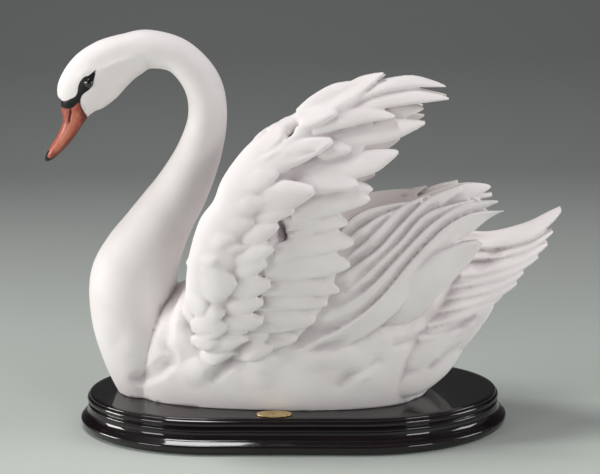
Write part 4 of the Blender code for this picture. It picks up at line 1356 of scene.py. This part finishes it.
bpy.ops.mesh.normals_make_consistent(inside=False)
bpy.ops.object.mode_set(mode="OBJECT")
badge.data.transform(Matrix.Translation(Vector((badge_middle[0], badge_middle[1], BADGE_LOW[2])) * MM))
apply_modifier(badge, "BEVEL", width=BADGE_EDGE * MM, segments=3, limit_method="ANGLE",
               angle_limit=math.radians(28))
bpy.ops.object.shade_smooth_by_angle(angle=math.radians(35))
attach(badge, "root")
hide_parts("badge")
print("badge:", [round(float(side) * 2, 1) for side in badge_half], "mm")

# %% [markdown]
# The badge is polished brass with patches of the first brown of tarnish and fine polishing scratches
# along it. The felt is needled wool, so its fibres give a soft, cloudy, light-eating pile. The screws
# are plain bright steel, turned, so their scratches run round them.

# %% Brass, felt and steel
SCRATCH_MM = 0.25
TARNISH_MM = 3.0
FIBRE_MM = 0.6
TURNING_MM = 1.885
RINGS_PER_UNIT = 20 / (2 * math.pi)

brass, tree, shader, place = new_material("polished_brass", Metallic=1.0)
along = add_node(tree, "ShaderNodeMapping", {"Vector": place}, Scale=(0.08, 1.0, 1.0)).outputs[0]
scratches = noise(tree, along, SCRATCH_MM, Detail=3.0)
tarnish = noise(tree, place, TARNISH_MM, Detail=4.0)
feed(shader, Base_Color=ramp(tree, tarnish, [(0.3, "#c9ab70"), (0.55, "#dfc795"), (0.8, "#ecdaae")]),
     Roughness=rescaled(tree, scratches, To_Min=0.2, To_Max=0.4),
     Normal=bumps(tree, scratches, strength=0.15, depth_mm=0.1))
dress(badge, brass)

felt, tree, shader, place = new_material("needled_wool_felt", Roughness=1.0, Specular_IOR_Level=0.1,
                                         Sheen_Weight=0.4, Sheen_Roughness=0.6)
fibres = noise(tree, place, FIBRE_MM, Detail=6.0, Roughness=0.7, Distortion=1.2)
feed(shader, Base_Color=ramp(tree, fibres, [(0.3, "#16241c"), (0.7, "#2b4233")]),
     Normal=bumps(tree, fibres, strength=0.5, depth_mm=0.4))
dress(nodes["felt_pad"], felt)

for end in ("front", "rear"):
    name = "fixing_screw_" + end
    steel, tree, shader, place = new_material("bright_turned_steel_" + end, Metallic=1.0)
    axis_x = sum(corner[0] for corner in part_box(name)) / 2
    centred = add_node(tree, "ShaderNodeMapping", {"Vector": place}, Location=(-axis_x, 0, 0))
    rings = add_node(tree, "ShaderNodeTexWave", {"Vector": centred.outputs[0]}, wave_type="RINGS",
                     rings_direction="Z", Scale=1000 / TURNING_MM / RINGS_PER_UNIT, Distortion=0.5,
                     Detail=2.0).outputs["Fac"]
    feed(shader, Base_Color=ramp(tree, rings, [(0.2, "#9a9a9c"), (0.8, "#c2c2c4")]),
         Roughness=rescaled(tree, rings, To_Min=0.28, To_Max=0.42))
    dress(nodes[name], steel)
print("dressed the badge, the felt and both screws")
